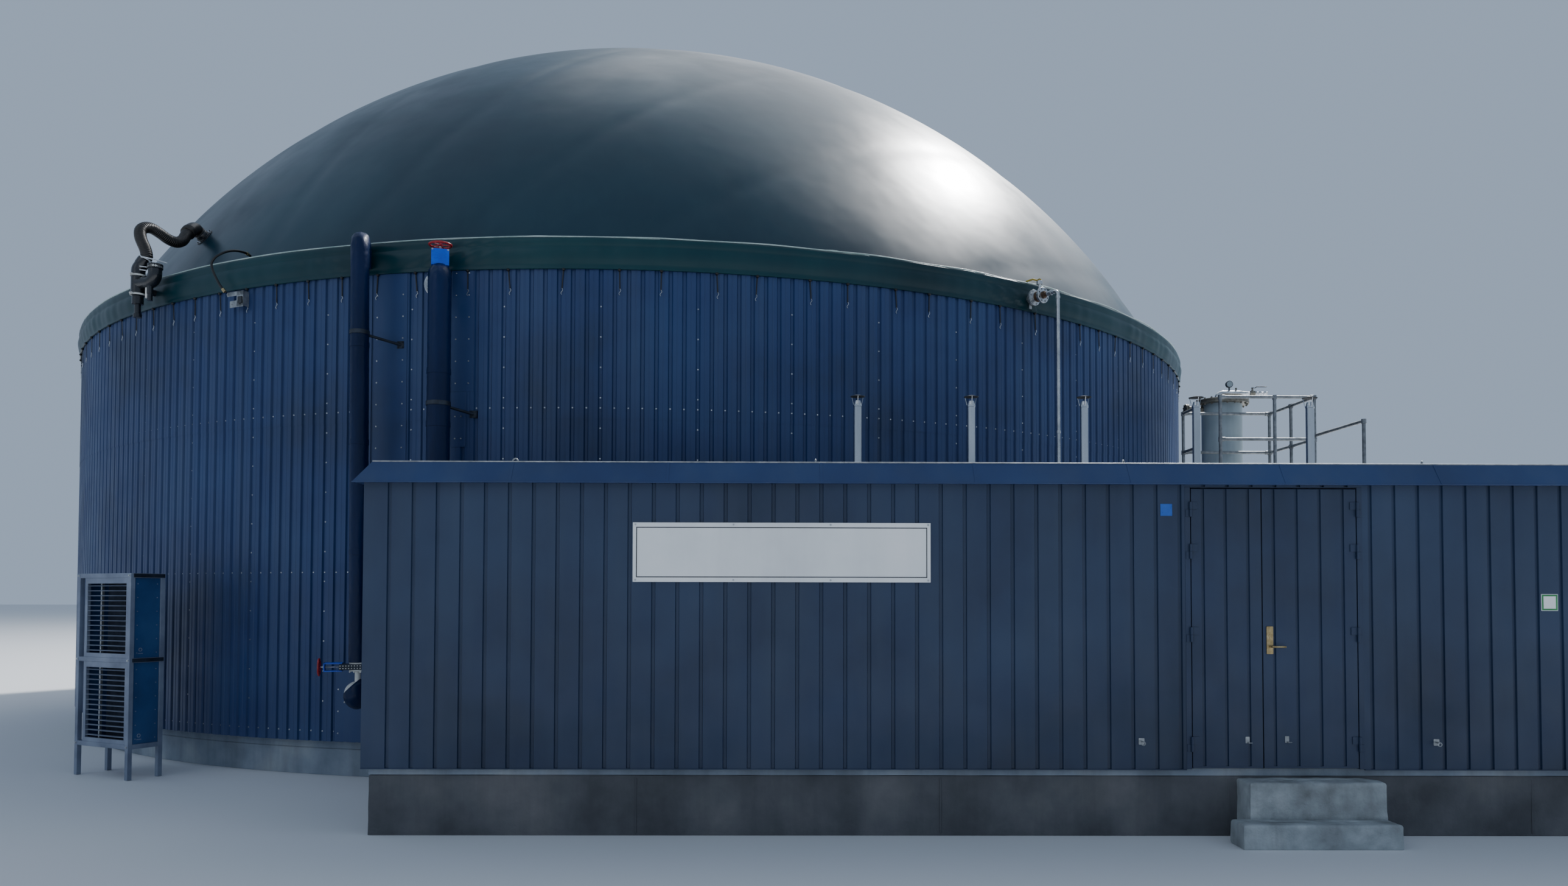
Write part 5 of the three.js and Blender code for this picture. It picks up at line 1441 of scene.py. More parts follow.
def handwheel(radius, rim, dish, spokes=5):
    """A dished handwheel about the vertical axis: rim at height zero, hub and nut below by dish."""
    circle = around(radius - rim, spread(48), 0)
    spoke_ends = around(radius - rim, spread(spokes) + 0.3, 0)
    hub = turned(
        [(0.9, -0.8), (1.5, -0.6), (1.5, 0.7), (1.1, 1.0)] * np.array([[rim, rim]]), 24, (0, 0, -dish),
    )
    nut = rods((0, 0, -dish), (0, 0, -dish + rim * 1.7), rim * 0.8, 6)
    arms = rods(0 * spoke_ends + [0, 0, -dish], spoke_ends, rim * 0.5, 12)
    return gather(tube(circle, rim, 14, (0, 0, 1), ring=True), hub, nut, arms)


def at_foot(shape):
    """A shape of the low valve, drawn about its own upright axis, the handwheel to the left."""
    return placed(shape, (*LEFT_FOOT, 0), RUN_SIDE, (*RUN_WAY, 0))


low_flanges = gather(
    disc_flange(FLANGE_R, FLANGE_FOOT, GATE_FOOT), disc_flange(FLANGE_R, GATE_HEAD, FLANGE_HEAD),
    bolt_ring(FLANGE_BOLT_R, VALVE_BOLTS, FLANGE_FOOT, FLANGE_HEAD, 0.010),
)
piece("low_valve_flanges", at_foot(low_flanges), "plant", steel_painted_highlight)
studs = screws(
    np.array([(x, -0.086, VALVE_Z + z) for x in np.arange(-0.168, 0.07, 0.028) for z in (-0.013, 0.013)]),
    FORWARD, 0.006, 0.0045,
)
low_body = gather(
    turned([(0.082, GATE_FOOT), (0.082, GATE_HEAD)], 40),
    blocks([(-0.180, 0.070, -0.086, 0.080, VALVE_Z - 0.030, VALVE_Z + 0.030)]),
    blocks([(-0.184, 0.070, -0.082, 0.070, VALVE_Z - 0.005, VALVE_Z + 0.005)]),
)
piece("low_valve_housing", at_foot(low_body), "plant", dark_steel_and_painted_shade, bevel=0.003)
piece("low_valve_studs", at_foot(studs), "plant", steel_painted_highlight)
low_yoke = blocks([
    (-0.333, -0.150, -0.075, 0.075, VALVE_Z + 0.034, VALVE_Z + 0.046),
    (-0.333, -0.150, -0.075, 0.075, VALVE_Z - 0.046, VALVE_Z - 0.034),
    (-0.333, -0.321, -0.075, 0.075, VALVE_Z - 0.046, VALVE_Z + 0.046),
])
low_valve = piece("low_valve_yoke", at_foot(low_yoke), "plant", valve_blue, bevel=0.002)
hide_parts("low_valve")
low_stem = gather(
    rods((-0.365, 0, VALVE_Z), (-0.160, 0, VALVE_Z), 0.009, 16),
    rods((-0.343, 0, VALVE_Z), (-0.333, 0, VALVE_Z), 0.020, 6),
)
piece("low_valve_stem", at_foot(low_stem), "plant", bright_steel)
low_wheel = placed(
    handwheel(LOW_WHEEL_R, WHEEL_RIM, 0.004), (-LOW_WHEEL_OUT, 0, VALVE_Z), (0, 0, 1), (0, 1, 0), (-1, 0, 0)
)
low_handwheel = piece("low_handwheel_red", at_foot(low_wheel), "low_wheel", wheel_red, 40)
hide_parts("low_handwheel")

# Low elbow. Bare pipe shows under the valve, then the lagged elbow turns in to the tank. Its black
# sheeting is cut back at the top over a pale shell: a light crescent that is a painted highlight.
ELBOW_CENTRE, ELBOW_R = np.array([*LEFT_FOOT, 0.936]), 0.140
ELBOW_PIPE_R = 0.124
bare_pipe = gather(
    rods((0, 0, 1.020), (0, 0, FLANGE_FOOT), 0.031, 32), turned([(0.044, 1.186), (0.044, 1.1968)], 32)
)
piece("low_bare_pipe", at_foot(bare_pipe), "plant", steel_painted_highlight, 40)


def lagging(radius, rise, cut_way, cut_height, seed):
    """A lagged elbow about its centre: a ball whose upper half is drawn up by rise, its surface
    rippled, flattened where it would pass cut_height along cut_way."""
    polar = np.linspace(-np.pi / 2 + 0.02, np.pi / 2 - 0.02, 33)
    points, quads, tris = turned(np.stack([np.cos(polar), np.sin(polar)], -1) * radius, 56)
    points = points * (1 + 0.022 * ripple(points, seed, 0.10)[:, None])
    points[:, 2] *= np.where(points[:, 2] > 0, rise, 1)
    way = unit(np.array(cut_way))
    past = np.maximum(points @ way - cut_height, 0)
    return points - past[:, None] * way, quads, tris


elbow_end = ELBOW_CENTRE + np.append(RUN_WAY, 0) * 0.400
elbow_run = jacket(
    bent([ELBOW_CENTRE, (ELBOW_CENTRE + elbow_end) / 2, elbow_end], 0.02), ELBOW_PIPE_R, RUN_SIDE, 63,
)
elbow_skin = placed(
    lagging(ELBOW_R, 1.30, (-0.68, -0.10, 0.73), 0.112, 61), ELBOW_CENTRE
)
low_elbow = piece(
    "low_elbow_jacket", gather(elbow_skin, elbow_run), "plant", pipe_jacket, 60
)
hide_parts("low_elbow")
# Pale shell under the cut sheeting: a painted highlight on the elbow's top.
highlight_crescent = placed(
    lagging(ELBOW_R - 0.004, 1.16, (0, 0, 1), 0.150, 61), ELBOW_CENTRE
)
piece("low_elbow_painted_highlight", highlight_crescent, "plant", steel_painted_highlight, 70)
spot_way = np.array([-0.857, -0.250, -0.450])
elbow_spot = screws((ELBOW_CENTRE + spot_way * 0.140)[None], spot_way, 0.011, 0.006)
piece("low_elbow_stud", elbow_spot, "plant", steel_painted_highlight)

# Top valve. The right riser ends in a second knife valve whose body hides behind the jacket: a
# round bright flange, the flat blue yoke that faces outward, and a red wheel on top.
TOP_VALVE = (*standing(RIGHT_RISER, [(0.120, 0)])[0][:2], 0)
TOP_WHEEL_Z, TOP_WHEEL_R = 5.734, 0.125
YOKE_HALF, YOKE_SPREAD, YOKE_PLATE = 0.091, 0.050, 0.012
YOKE_FOOT = 5.505
YOKE_TOP, YOKE_BOLT_X, YOKE_BOLT_Z = 5.681, 0.080, 5.671
TOP_FLANGE_R, TOP_FLANGE_HALF, TOP_FLANGE_Z = 0.139, 0.012, 5.300
yoke_parts = gather(
    blocks([
        (-YOKE_HALF, YOKE_HALF, side * YOKE_SPREAD - YOKE_PLATE / 2, side * YOKE_SPREAD + YOKE_PLATE / 2,
         YOKE_FOOT, YOKE_TOP)
        for side in (-1, 1)
    ]),
    blocks([
        (-YOKE_HALF, YOKE_HALF, -YOKE_SPREAD, YOKE_SPREAD, YOKE_FOOT, YOKE_FOOT + 0.040),
        (-YOKE_HALF, YOKE_HALF, -YOKE_SPREAD, YOKE_SPREAD, YOKE_TOP - YOKE_PLATE, YOKE_TOP),
    ]),
)
top_yoke = piece(
    "top_valve_yoke_plates", placed(yoke_parts, TOP_VALVE, RUN_SIDE, (*RUN_WAY, 0)),
    "plant", valve_blue, bevel=0.0025,
)
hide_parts("top_valve_yoke")
yoke_bolts = np.array(
    [(x, -YOKE_SPREAD - YOKE_PLATE / 2, YOKE_BOLT_Z) for x in (-YOKE_BOLT_X, YOKE_BOLT_X)]
)
top_metal = gather(
    placed(
        gather(
            disc_flange(TOP_FLANGE_R, -TOP_FLANGE_HALF, TOP_FLANGE_HALF),
            bolt_ring(0.120, 8, -TOP_FLANGE_HALF, TOP_FLANGE_HALF, 0.008),
        ),
        (-0.022, 0, TOP_FLANGE_Z), (1, 0, 0), (0, 0, 1), (0, -1, 0),
    ),
    rods((0, 0, YOKE_FOOT + 0.02), (0, 0, TOP_WHEEL_Z - 0.015), 0.011, 16),
    rods((0, 0, YOKE_TOP), (0, 0, YOKE_TOP + 0.007), 0.022, 6),
    screws(yoke_bolts, FORWARD, 0.010, 0.0065),
)
piece(
    "top_valve_metal", placed(top_metal, TOP_VALVE, RUN_SIDE, (*RUN_WAY, 0)), "plant",
    bright_steel,
)
top_wheel = placed(
    handwheel(TOP_WHEEL_R, WHEEL_RIM, 0.0), (*TOP_VALVE[:2], TOP_WHEEL_Z)
)
top_handwheel = piece("top_handwheel_red", top_wheel, "top_wheel", wheel_red, 40)
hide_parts("top_handwheel")

# Relief unit. Black plastic pipework on the rim guards the air space between the membranes: an
# upright pot with steel clamps, a branch that turns up into an open cup, and stubs below.
POT_AXIS, POT_R = np.array([-5.449, -8.080]), 0.078
POT_DEGREE = math.degrees(math.atan2(POT_AXIS[1], POT_AXIS[0]))
CUP_X, CUP_Y = 0.275, 0.060
CUFF_WAY = np.array([0.57, 0, 0.82])
black_plastic = finish(
    "black_plastic", ("0a0c10", "10141a", "181d25"), 6, (0.20, 0.40), 0, (150, 0.0004), ("3c4248", 0.2)
)
lacquer(black_plastic, 0.3, 0.03, 0.5)


def clamp(radius, z, x=0.0, y=0.0, lug=70):
    """A band clamp round an upright pipe: flat strip, two lugs at one side and their bolt."""
    strip = [
        (radius - 0.002, z - 0.010), (radius + 0.004, z - 0.010), (radius + 0.004, z + 0.010),
        (radius - 0.002, z + 0.010),
    ]
    angle = math.radians(-lug)
    out = np.array([math.cos(angle), math.sin(angle), 0])
    along = np.array([-math.sin(angle), math.cos(angle), 0])
    middle = np.array([x, y, z]) + out * (radius + 0.015)
    lugs = [
        placed(blocks([(-0.003, 0.003, -0.016, 0.016, -0.011, 0.011)]), middle + along * s, along, -out)
        for s in (-0.012, 0.012)
    ]
    bolt = rods(middle - along * 0.030, middle + along * 0.030, 0.005, 10)
    heads = rods(middle - along * 0.024, middle - along * 0.015, 0.009, 6)
    return gather(turned(strip, 40, (x, y, 0), ring=True), *lugs, bolt, heads)


pot_column = turned([
    (0.048, 5.340), (0.048, 5.380), (0.036, 5.384), (0.036, 5.496), (0.065, 5.500), (0.065, 5.594),
    (POT_R, 5.600),
    (POT_R, 5.860), (POT_R * 0.98, 5.890),
], 40)
branch_path = bent([(0, 0, 5.750), (CUP_X, CUP_Y, 5.750), (CUP_X, CUP_Y, 5.900)], 0.092)
cup = turned([
    (POT_R, 5.895), (0.086, 5.900), (0.086, 5.950), (0.083, 5.955), (0.066, 5.955), (0.066, 5.850),
], 40, (CUP_X, CUP_Y, 0))
spigot = turned([(0.030, 5.520), (0.030, 5.600), (0.034, 5.602), (0.034, 5.700)], 24, (0.215, 0.035, 0))
pot_inlet = tube(np.array([(0, 0.30 * t, 5.680) for t in np.linspace(0, 1, 6)]), 0.040, 24, (0, 0, 1))
pot_parts = gather(pot_column, tube(branch_path, POT_R * 0.97, 36, (0, 1, 0)), cup, spigot, pot_inlet)
relief_unit = piece(
    "relief_pot", on_tank(pot_parts, POT_DEGREE, (*POT_AXIS, 0)), "plant",
    black_plastic, 45
)
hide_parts("relief_valve")
pot_clamps = gather(
    clamp(POT_R + 0.004, 5.845), clamp(POT_R + 0.004, 5.615), clamp(0.082, 5.918, CUP_X, CUP_Y, 30),
    turned([(0.0265, 5.555), (0.0265, 5.680)], 24, (0.170, 0.030, 0)),
)
piece(
    "relief_clamps", on_tank(pot_clamps, POT_DEGREE, (*POT_AXIS, 0)), "plant", steel_painted_highlight,
)
cuff_foot = np.array([*POT_AXIS, 5.929])
cuff_bend = bent([cuff_foot - [0, 0, 0.060], cuff_foot, cuff_foot + CUFF_WAY * 0.1435], 0.08)
cuff_radius = np.interp(
    np.linspace(0, 1, len(cuff_bend)), [0, 0.55, 0.62, 0.9, 1], [0.077, 0.077, 0.081, 0.081, 0.078]
)
cuff_tabs = rods(
    cuff_foot + [[0.056, -0.072, 0.014], [0.056, -0.072, -0.027]],
    cuff_foot + [[0.131, -0.055, 0.008], [0.131, -0.055, -0.033]], 0.006, 8,
)
piece(
    "relief_cuff", tube(cuff_bend, cuff_radius, 40, (0, 1, 0)), "plant",
    black_plastic, 45,
)

# Air hose. A ribbed black hose loops from the relief unit's cuff to the elbow on the dome, drawn
# tight at the cuff with a white tie whose long tail sticks out.
PORT_FOOT = np.array([-5.185, -7.089, 6.648])
PORT_LENGTH = 0.070
BOOT_LENGTH, WRAP_LENGTH = 0.300, 0.075
HOSE_R, BOOT_R = 0.068, 0.080
WRAP_R, WRAP_RIB, WRAP_RIB_RISE = 0.085, 0.009, 0.0015
HOSE_POINTS = 560
HOSE_RIB, HOSE_RIB_DEPTH = 0.019, 0.0035
HOSE_ROUTE = np.array([
    [-5.232, -7.225, 6.712], [-5.215, -7.320, 6.680], [-5.210, -7.405, 6.622], [-5.206, -7.490, 6.540],
    [-5.210, -7.570, 6.445], [-5.240, -7.650, 6.400], [-5.285, -7.740, 6.405], [-5.340, -7.840, 6.450],
    [-5.395, -7.930, 6.480], [-5.435, -8.000, 6.460], [-5.455, -8.040, 6.410], [-5.445, -8.060, 6.335],
    [-5.415, -8.070, 6.260], [-5.380, -8.075, 6.190], [-5.358, -8.080, 6.130], [-5.352, -8.080, 6.080],
    [-5.3667, -8.080, 6.0474],
])
port_normal = unit(PORT_FOOT - DOME_CENTRE)


def spline(points, count):
    """Centripetal Catmull-Rom curve through points, as count points evenly spread along it. Knots
    lie apart by the root of the distance, and each span is the usual pyramid of blends."""
    points = np.concatenate([[2 * points[0] - points[1]], points, [2 * points[-1] - points[-2]]])
    knots = np.concatenate([[0], np.cumsum(np.linalg.norm(np.diff(points, axis=0), axis=1) ** 0.5)])
    u = np.linspace(knots[1], knots[-2] - 1e-9, 40 * len(points))
    span = np.clip(np.searchsorted(knots, u, side="right") - 1, 1, len(points) - 3)
    t = [knots[span + i][:, None] for i in (-1, 0, 1, 2)]
    p = [points[span + i] for i in (-1, 0, 1, 2)]
    u = u[:, None]
    low = [((t[i + 1] - u) * p[i] + (u - t[i]) * p[i + 1]) / (t[i + 1] - t[i]) for i in range(3)]
    mid = [((t[i + 2] - u) * low[i] + (u - t[i]) * low[i + 1]) / (t[i + 2] - t[i]) for i in range(2)]
    curve = ((t[2] - u) * mid[0] + (u - t[1]) * mid[1]) / (t[2] - t[1])
    length = length_along(curve)[-1]
    return at_lengths(curve, np.linspace(0, length, count)), length


hose_route = np.concatenate([
    [DOME_CENTRE + port_normal * (DOME_RADIUS + PORT_LENGTH + r) for r in (0.0004, 0.040)], HOSE_ROUTE,
])
hose_path, hose_length = spline(hose_route, HOSE_POINTS)
hose_place = np.linspace(0, hose_length, HOSE_POINTS)
hose_radius = HOSE_R - HOSE_RIB_DEPTH * np.clip(0.5 - 0.9 * np.cos(hose_place / HOSE_RIB * 2 * np.pi), 0, 1)
wrap_end = BOOT_LENGTH + WRAP_LENGTH
wrap_radius = WRAP_R + WRAP_RIB_RISE * np.sin(hose_place / WRAP_RIB * 2 * np.pi)
hose_radius = np.where(hose_place < wrap_end, wrap_radius, hose_radius)
hose_radius = np.where(hose_place < BOOT_LENGTH, BOOT_R, hose_radius)
hose_rubber = finish(
    "hose_rubber", ("14120f", "1d1a18", "2a2725"), 7, (0.30, 0.46), 0, (200, 0.0003), ("55504a", 0.3)
)
air_hose = piece(
    "air_hose_ribbed", tube(hose_path, hose_radius, 28, (1, 0, 0)), "plant",
    hose_rubber, 60,
)
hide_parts("air_hose")
port_side = unit(np.cross([0, 0, 1.0], port_normal))
port_up = np.cross(port_normal, port_side)
dome_port_shape = gather(
    turned([
        (0.128, -0.020), (0.128, 0.006), (0.124, 0.010), (0.088, 0.012), (0.082, 0.018),
        (0.082, 0.052), (0.080, 0.060),
    ], 48),
    bolt_ring(0.108, 8, 0.004, 0.010, 0.008),
)
port_origin = DOME_CENTRE + port_normal * DOME_RADIUS
port = piece(
    "dome_port_flange", placed(dome_port_shape, port_origin, port_side, port_up, port_normal),
    "plant", black_plastic, 40,
)
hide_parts("dome_port")
tie_white = finish("tie_white", ("c9ced3", "dde1e5", "eef0f2"), 5, (0.3, 0.45))
tie_middle = hose_path[-5]
tie_way = unit(hose_path[-3] - hose_path[-9])
tie_side = unit(np.cross(tie_way, [0, 1.0, 0]))
tie_loop = placed(
    turned(
        [(HOSE_R, -0.005), (HOSE_R + 0.004, -0.005), (HOSE_R + 0.004, 0.005), (HOSE_R, 0.005)], 40,
        ring=True,
    ),
    tie_middle, tie_side, np.cross(tie_way, tie_side), tie_way,
)
TAIL_POINTS = 10
tail_start = np.array([-5.376, -8.158, 6.057])
tail = tube(
    np.stack(
        [
            tail_start + [0.322 * t, -0.01 * t, -0.062 * t - 0.018 * t * t]
            for t in np.linspace(0, 1, TAIL_POINTS)
        ]
    ),
    np.linspace(0.009, 0.005, TAIL_POINTS)[:, None] * np.array([1, 0.35, 1, 0.35, 1, 0.35, 1, 0.35])[None],
    8, (0, 1, 0),
)
piece("hose_tie", gather(tie_loop, tail, cuff_tabs), "plant", tie_white)

# Sensor plate and hose. A folded zinc plate stands off the cladding below the rim. A thin hose
# runs from its fitting over the rim to a bright nut on the dome.
SENSOR_DEGREE = -114.4
SENSOR_FACE = -CLADDING_OUTSIDE - 0.0784
SENSOR_HOSE_R = 0.014
SENSOR_HEAD, SENSOR_FOLD, SENSOR_NUT_Z = 5.480, 5.305, 5.455
sensor_plate = gather(
    blocks([
        (-0.130, 0.130, SENSOR_FACE, SENSOR_FACE + 0.003, 5.430, SENSOR_HEAD),
        (0.025, 0.130, SENSOR_FACE, SENSOR_FACE + 0.003, SENSOR_FOLD, SENSOR_HEAD),
        (-0.085, 0.130, SENSOR_FACE, SENSOR_FACE + 0.003, 5.297, 5.375),
        (-0.130, 0.130, SENSOR_FACE, SENSOR_FACE + 0.020, 5.477, SENSOR_HEAD),
        (0.127, 0.130, SENSOR_FACE, SENSOR_FACE + 0.0780, SENSOR_FOLD, 5.475),
    ]),
    rods(
        (-0.115, SENSOR_FACE + 0.028, SENSOR_NUT_Z),
        (-0.115, SENSOR_FACE - 0.004, SENSOR_NUT_Z), 0.019, 6,
    ),
    rods((-0.115, SENSOR_FACE, SENSOR_NUT_Z), (-0.115, SENSOR_FACE - 0.012, SENSOR_NUT_Z), 0.010, 16),
    screws(
        np.array(
            [(-0.050, SENSOR_FACE, 5.335), (0.075, SENSOR_FACE, SENSOR_NUT_Z), (0.105, SENSOR_FACE, 5.325)]
        ),
        FORWARD, 0.008, 0.005,
    ),
)
sensor = piece(
    "sensor_plate", on_tank(sensor_plate, SENSOR_DEGREE), "plant",
    galvanised, bevel=0.0006,
)
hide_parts("sensor_bracket")
sensor_box = gather(
    blocks([(0.050, 0.118, SENSOR_FACE - 0.012, SENSOR_FACE + 0.0004, 5.335, 5.415)]),
    rods((0.084, SENSOR_FACE - 0.006, 5.325), (0.084, SENSOR_FACE - 0.006, 5.335), 0.009, 16),
)
piece(
    "sensor_box", on_tank(sensor_box, SENSOR_DEGREE), "plant",
    black_plastic, bevel=0.003,
)
SENSOR_ROUTE = np.array([  # distance from the tank's axis, degree, height
    (9.604, -115.2, 5.482), (9.624, -115.7, 5.591), (9.645, -116.3, 5.819), (9.630, -116.1, 5.891),
    (9.560, -115.8, 5.965), (9.430, -115.8, 6.027), (9.260, -116.0, 6.060), (9.140, -116.3, 6.060),
    (9.080, -116.4, 6.040),
])
sensor_route = around(SENSOR_ROUTE[:, 0], np.radians(SENSOR_ROUTE[:, 1]), SENSOR_ROUTE[:, 2])
sensor_path = spline(sensor_route, 90)[0]
on_dome_share = np.linalg.norm(sensor_path - DOME_CENTRE, axis=1) > DOME_RADIUS + 0.004
sensor_path = sensor_path[on_dome_share]
along_side = np.array(facing(SENSOR_DEGREE)[0])
sensor_hose = piece(
    "sensor_hose_line", tube(sensor_path, SENSOR_HOSE_R, 14, along_side), "plant",
    black_rubber, 60
)
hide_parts("sensor_hose")
nut_at = sensor_path[[0, 4, -8, -4]]
sensor_nuts = rods(nut_at[[0, 2]], nut_at[[1, 3]], 0.020, 6)
piece("sensor_hose_nuts", sensor_nuts, "plant", brass_metal, bevel=0.001)

# Gas valve. A flanged ball valve points straight out of the skirt: slotted bolt holes in the front
# flange, drawn as thin black discs of painted shade, a brown rusty core, a bright pad under the stem
# and a yellow plastic-coated lever.
GAS_DEGREE = -55.7
GAS_Z = 5.665
STEM_R, STEM_TOP = 9.702, 5.860
SLOTS = 8
BACK_FLANGE_IN, BACK_FLANGE_OUT = 9.600, 9.626
rusty_core = finish(
    "rusty_core", ("3a2c22", "55402f", "77604a"), 16, (0.40, 0.65), 0.4, (160, 0.0008)
)
lever_yellow = finish(
    "lever_yellow", ("8f7a1c", "b3982a", "cbb24a"), 12, (0.28, 0.42), 0, (180, 0.0003), ("6b5f33", 0.3)
)
gas_right, gas_inward = (np.array(way) for way in facing(GAS_DEGREE))


def outward_turned(profile, steps=40):
    """A profile of (radius, distance from the tank's axis) turned about the gas valve's axis."""
    return placed(turned(profile, steps), (0, 0, GAS_Z), gas_right, (0, 0, 1), -gas_inward)


def along_gas(distance, height=GAS_Z):
    """A point over the gas valve's axis at a distance from the tank's axis."""
    return -gas_inward * distance + [0, 0, height]


gas_flanges = gather(
    outward_turned(
        [
            (0.056, 9.540), (0.056, BACK_FLANGE_IN), (0.097, BACK_FLANGE_IN),
            (0.097, BACK_FLANGE_OUT), (0.064, BACK_FLANGE_OUT), (0.064, 9.660),
        ]
    ),
    outward_turned(
        [(0.062, 9.700), (0.062, 9.740), (0.094, 9.740), (0.097, 9.743), (0.097, 9.761), (0.094, 9.764)]
    ),
    placed(
        bolt_ring(0.080, SLOTS, BACK_FLANGE_IN, BACK_FLANGE_OUT, 0.010), (0, 0, GAS_Z), gas_right,
        (0, 0, 1), -gas_inward,
    ),
    rods(along_gas(STEM_R, 5.808), along_gas(STEM_R, 5.848), 0.036, 32),
    rods(along_gas(STEM_R, 5.700), along_gas(STEM_R, STEM_TOP), 0.016, 20),
)
gas_valve = piece("gas_valve_flanges", gas_flanges, "plant", bright_steel, bevel=0.001)
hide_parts("gas_valve")
gas_core = gather(
    outward_turned([(0.060, 9.655), (0.066, 9.670), (0.066, 9.690), (0.060, 9.705)]),
    outward_turned([(0.045, 9.7645), (0.043, 9.785), (0.030, 9.790), (0.026, 9.818)]),
)
piece("gas_valve_core", gas_core, "plant", rusty_core, 40)
# Bolt holes as thin black discs on the flange face: painted shade, not cut holes.
slot_foot = around(0.075, spread(SLOTS) + np.pi / SLOTS, 9.7635)
slot_shade_discs = placed(
    rods(slot_foot, slot_foot + [0, 0, 0.0012], 0.0095, 16), (0, 0, GAS_Z), gas_right, (0, 0, 1),
    -gas_inward,
)
piece("gas_flange_holes_painted_shade", slot_shade_discs, "plant", seal_black)
gas_lever_parts = gather(
    turned([(0.022, 0), (0.024, 0.002), (0.024, 0.010)], 24),
    blocks([(0.0, 0.045, -0.014, 0.014, 0.002, 0.010)]),
    tube([(0.035, 0, 0.007), (0.060, 0, 0.016), (0.105, 0, 0.036), (0.130, 0, 0.036), (0.215, 0, 0.036)],
         np.array([0.009, 0.010, 0.011, 0.011, 0.010]), 12, (0, 1, 0)),
)
lever_place = along_gas(STEM_R, STEM_TOP + 0.0004)
lever_cross = np.cross([0, 0, 1.0], gas_inward)
gas_lever = piece(
    "gas_lever_grip", placed(gas_lever_parts, lever_place, gas_inward, lever_cross), "gas_lever",
    lever_yellow, 40,
)
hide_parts("gas_valve_lever")
lever_nut = placed(rods((0, 0, 0.010), (0, 0, 0.019), 0.012, 6), lever_place, gas_inward, lever_cross)
piece("gas_lever_nut", lever_nut, "gas_lever", rusty_core, bevel=0.001)

# Gas valve's cover sheets. A grey plate hangs below the back flange and a dark membrane flap is
# drawn over the skirt's edge beside it.
plate_shape = blocks([(-0.052, -0.008, -9.586, -9.578, 5.528, 5.622)])
piece(
    "gas_valve_plate", on_tank(plate_shape, GAS_DEGREE), "plant", galvanised, bevel=0.001,
)
flap_u, flap_v = np.meshgrid(np.linspace(0, 1, 12), np.linspace(0, 1, 12), indexing="ij")
flap_x = 0.012 + flap_u * (0.030 + 0.085 * flap_v)
flap_z = 5.618 - flap_v * 0.105
flap_out = 9.560 + 0.020 * (1 - flap_v) + 0.008 * np.sin(flap_u * np.pi)
flap_front = np.stack([flap_x, -flap_out, flap_z], -1)
flap = skin(np.concatenate([flap_front, (flap_front + [0, 0.004, 0])[:, ::-1]], 1))
piece(
    "gas_valve_flap", on_tank(flap, GAS_DEGREE), "plant", skirt_membrane, 60,
)

# Gas pipe. Thin bright pipe leads out through a union and an elbow, drops straight past the skirt
# and turns in to the house's back wall.
GAS_PIPE_R = 0.021
UNION_FOOT, GAS_DROP, HOUSE_ENTRY_Z = 9.8204, 9.989, 2.500
gas_route = [
    along_gas(UNION_FOOT), along_gas(GAS_DROP), [*along_gas(GAS_DROP)[:2], HOUSE_ENTRY_Z],
    [along_gas(GAS_DROP)[0], HOUSE_BACK + 0.0004, HOUSE_ENTRY_Z],
]
gas_pipe_path = bent(gas_route, 0.046)
union_spots = np.array([9.836, 9.868, 9.905])
pipe_fittings = gather(
    rods(
        [along_gas(d) for d in union_spots], [along_gas(d + 0.022) for d in union_spots],
        [0.030, 0.034, 0.027], 6,
    ),
    rods(
        [along_gas(GAS_DROP, z) for z in (5.572, 3.95)],
        [along_gas(GAS_DROP, z + 0.030) for z in (5.572, 3.95)], 0.027, 24,
    ),
)
gas_pipe = piece(
    "gas_pipe_run", gather(tube(gas_pipe_path, GAS_PIPE_R, 20, gas_right), pipe_fittings),
    "plant", bright_steel, 40,
)
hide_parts("gas_pipe")

# Filter vessel. A tall painted steel vessel with a bolted lid, a capped nozzle on its left and a
# bright outlet that carries a gauge and a small valve.
VESSEL = np.array([8.718, -5.500])
VESSEL_R, LID_R = 0.277, 0.370
VESSEL_HEAD, OUTLET_X = 4.786, 8.650
LID_FOOT, LID_TOP = 4.820, 4.850
NOZZLE_Z = 4.725
OUTLET_Z, OUTLET_VALVE_X = 4.965, 9.168
GAUGE_X, GAUGE_Z, GAUGE_R = 8.830, 5.092, 0.051
LID_BOLTS = 20
vessel_grey = finish(
    "vessel_paint", ("93a3ab", "a6b4ba", "b8c3c6"), 1.1, (0.45, 0.62), 0, (120, 0.0004), ("5d6a66", 0.45)
)
zinc_brown = finish(
    "aged_zinc", ("5e5d55", "7a776c", "96928a"), 14, (0.42, 0.62), 0.6, (160, 0.0006), ("4b3f30", 0.45)
)


def at_vessel(x, z):
    """A point in the upright plane through the vessel's axis and its outlet."""
    return (x, VESSEL[1], z)


vessel_body = turned([
    (VESSEL_R, 0), (VESSEL_R, 3.640), (VESSEL_R + 0.003, 3.643), (VESSEL_R + 0.003, 3.655),
    (VESSEL_R, 3.658),
    (VESSEL_R, VESSEL_HEAD),
], 72, (*VESSEL, 0))
inlet_end = unit(VESSEL) * 9.497
vessel_inlet = rods((*VESSEL, 2.600), (*inlet_end, 2.600), 0.055, 32)
vessel_shell = piece(
    "vessel_shell", gather(vessel_body, vessel_inlet), "plant", vessel_grey, 40
)
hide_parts("filter_vessel")
lid_axis = (*VESSEL, 0)
vessel_ring = gather(
    placed(disc_flange(LID_R, VESSEL_HEAD, LID_FOOT - 0.0004), lid_axis),
    rods(at_vessel(8.228, NOZZLE_Z), at_vessel(8.440, NOZZLE_Z), 0.045, 32),
    placed(
        gather(
            disc_flange(0.074, 0, 0.020), disc_flange(0.074, 0.024, 0.045),
            bolt_ring(0.060, 8, 0, 0.045, 0.009),
        ),
        at_vessel(8.228, NOZZLE_Z), (0, 0, 1), (0, 1, 0), (-1, 0, 0),
    ),
)
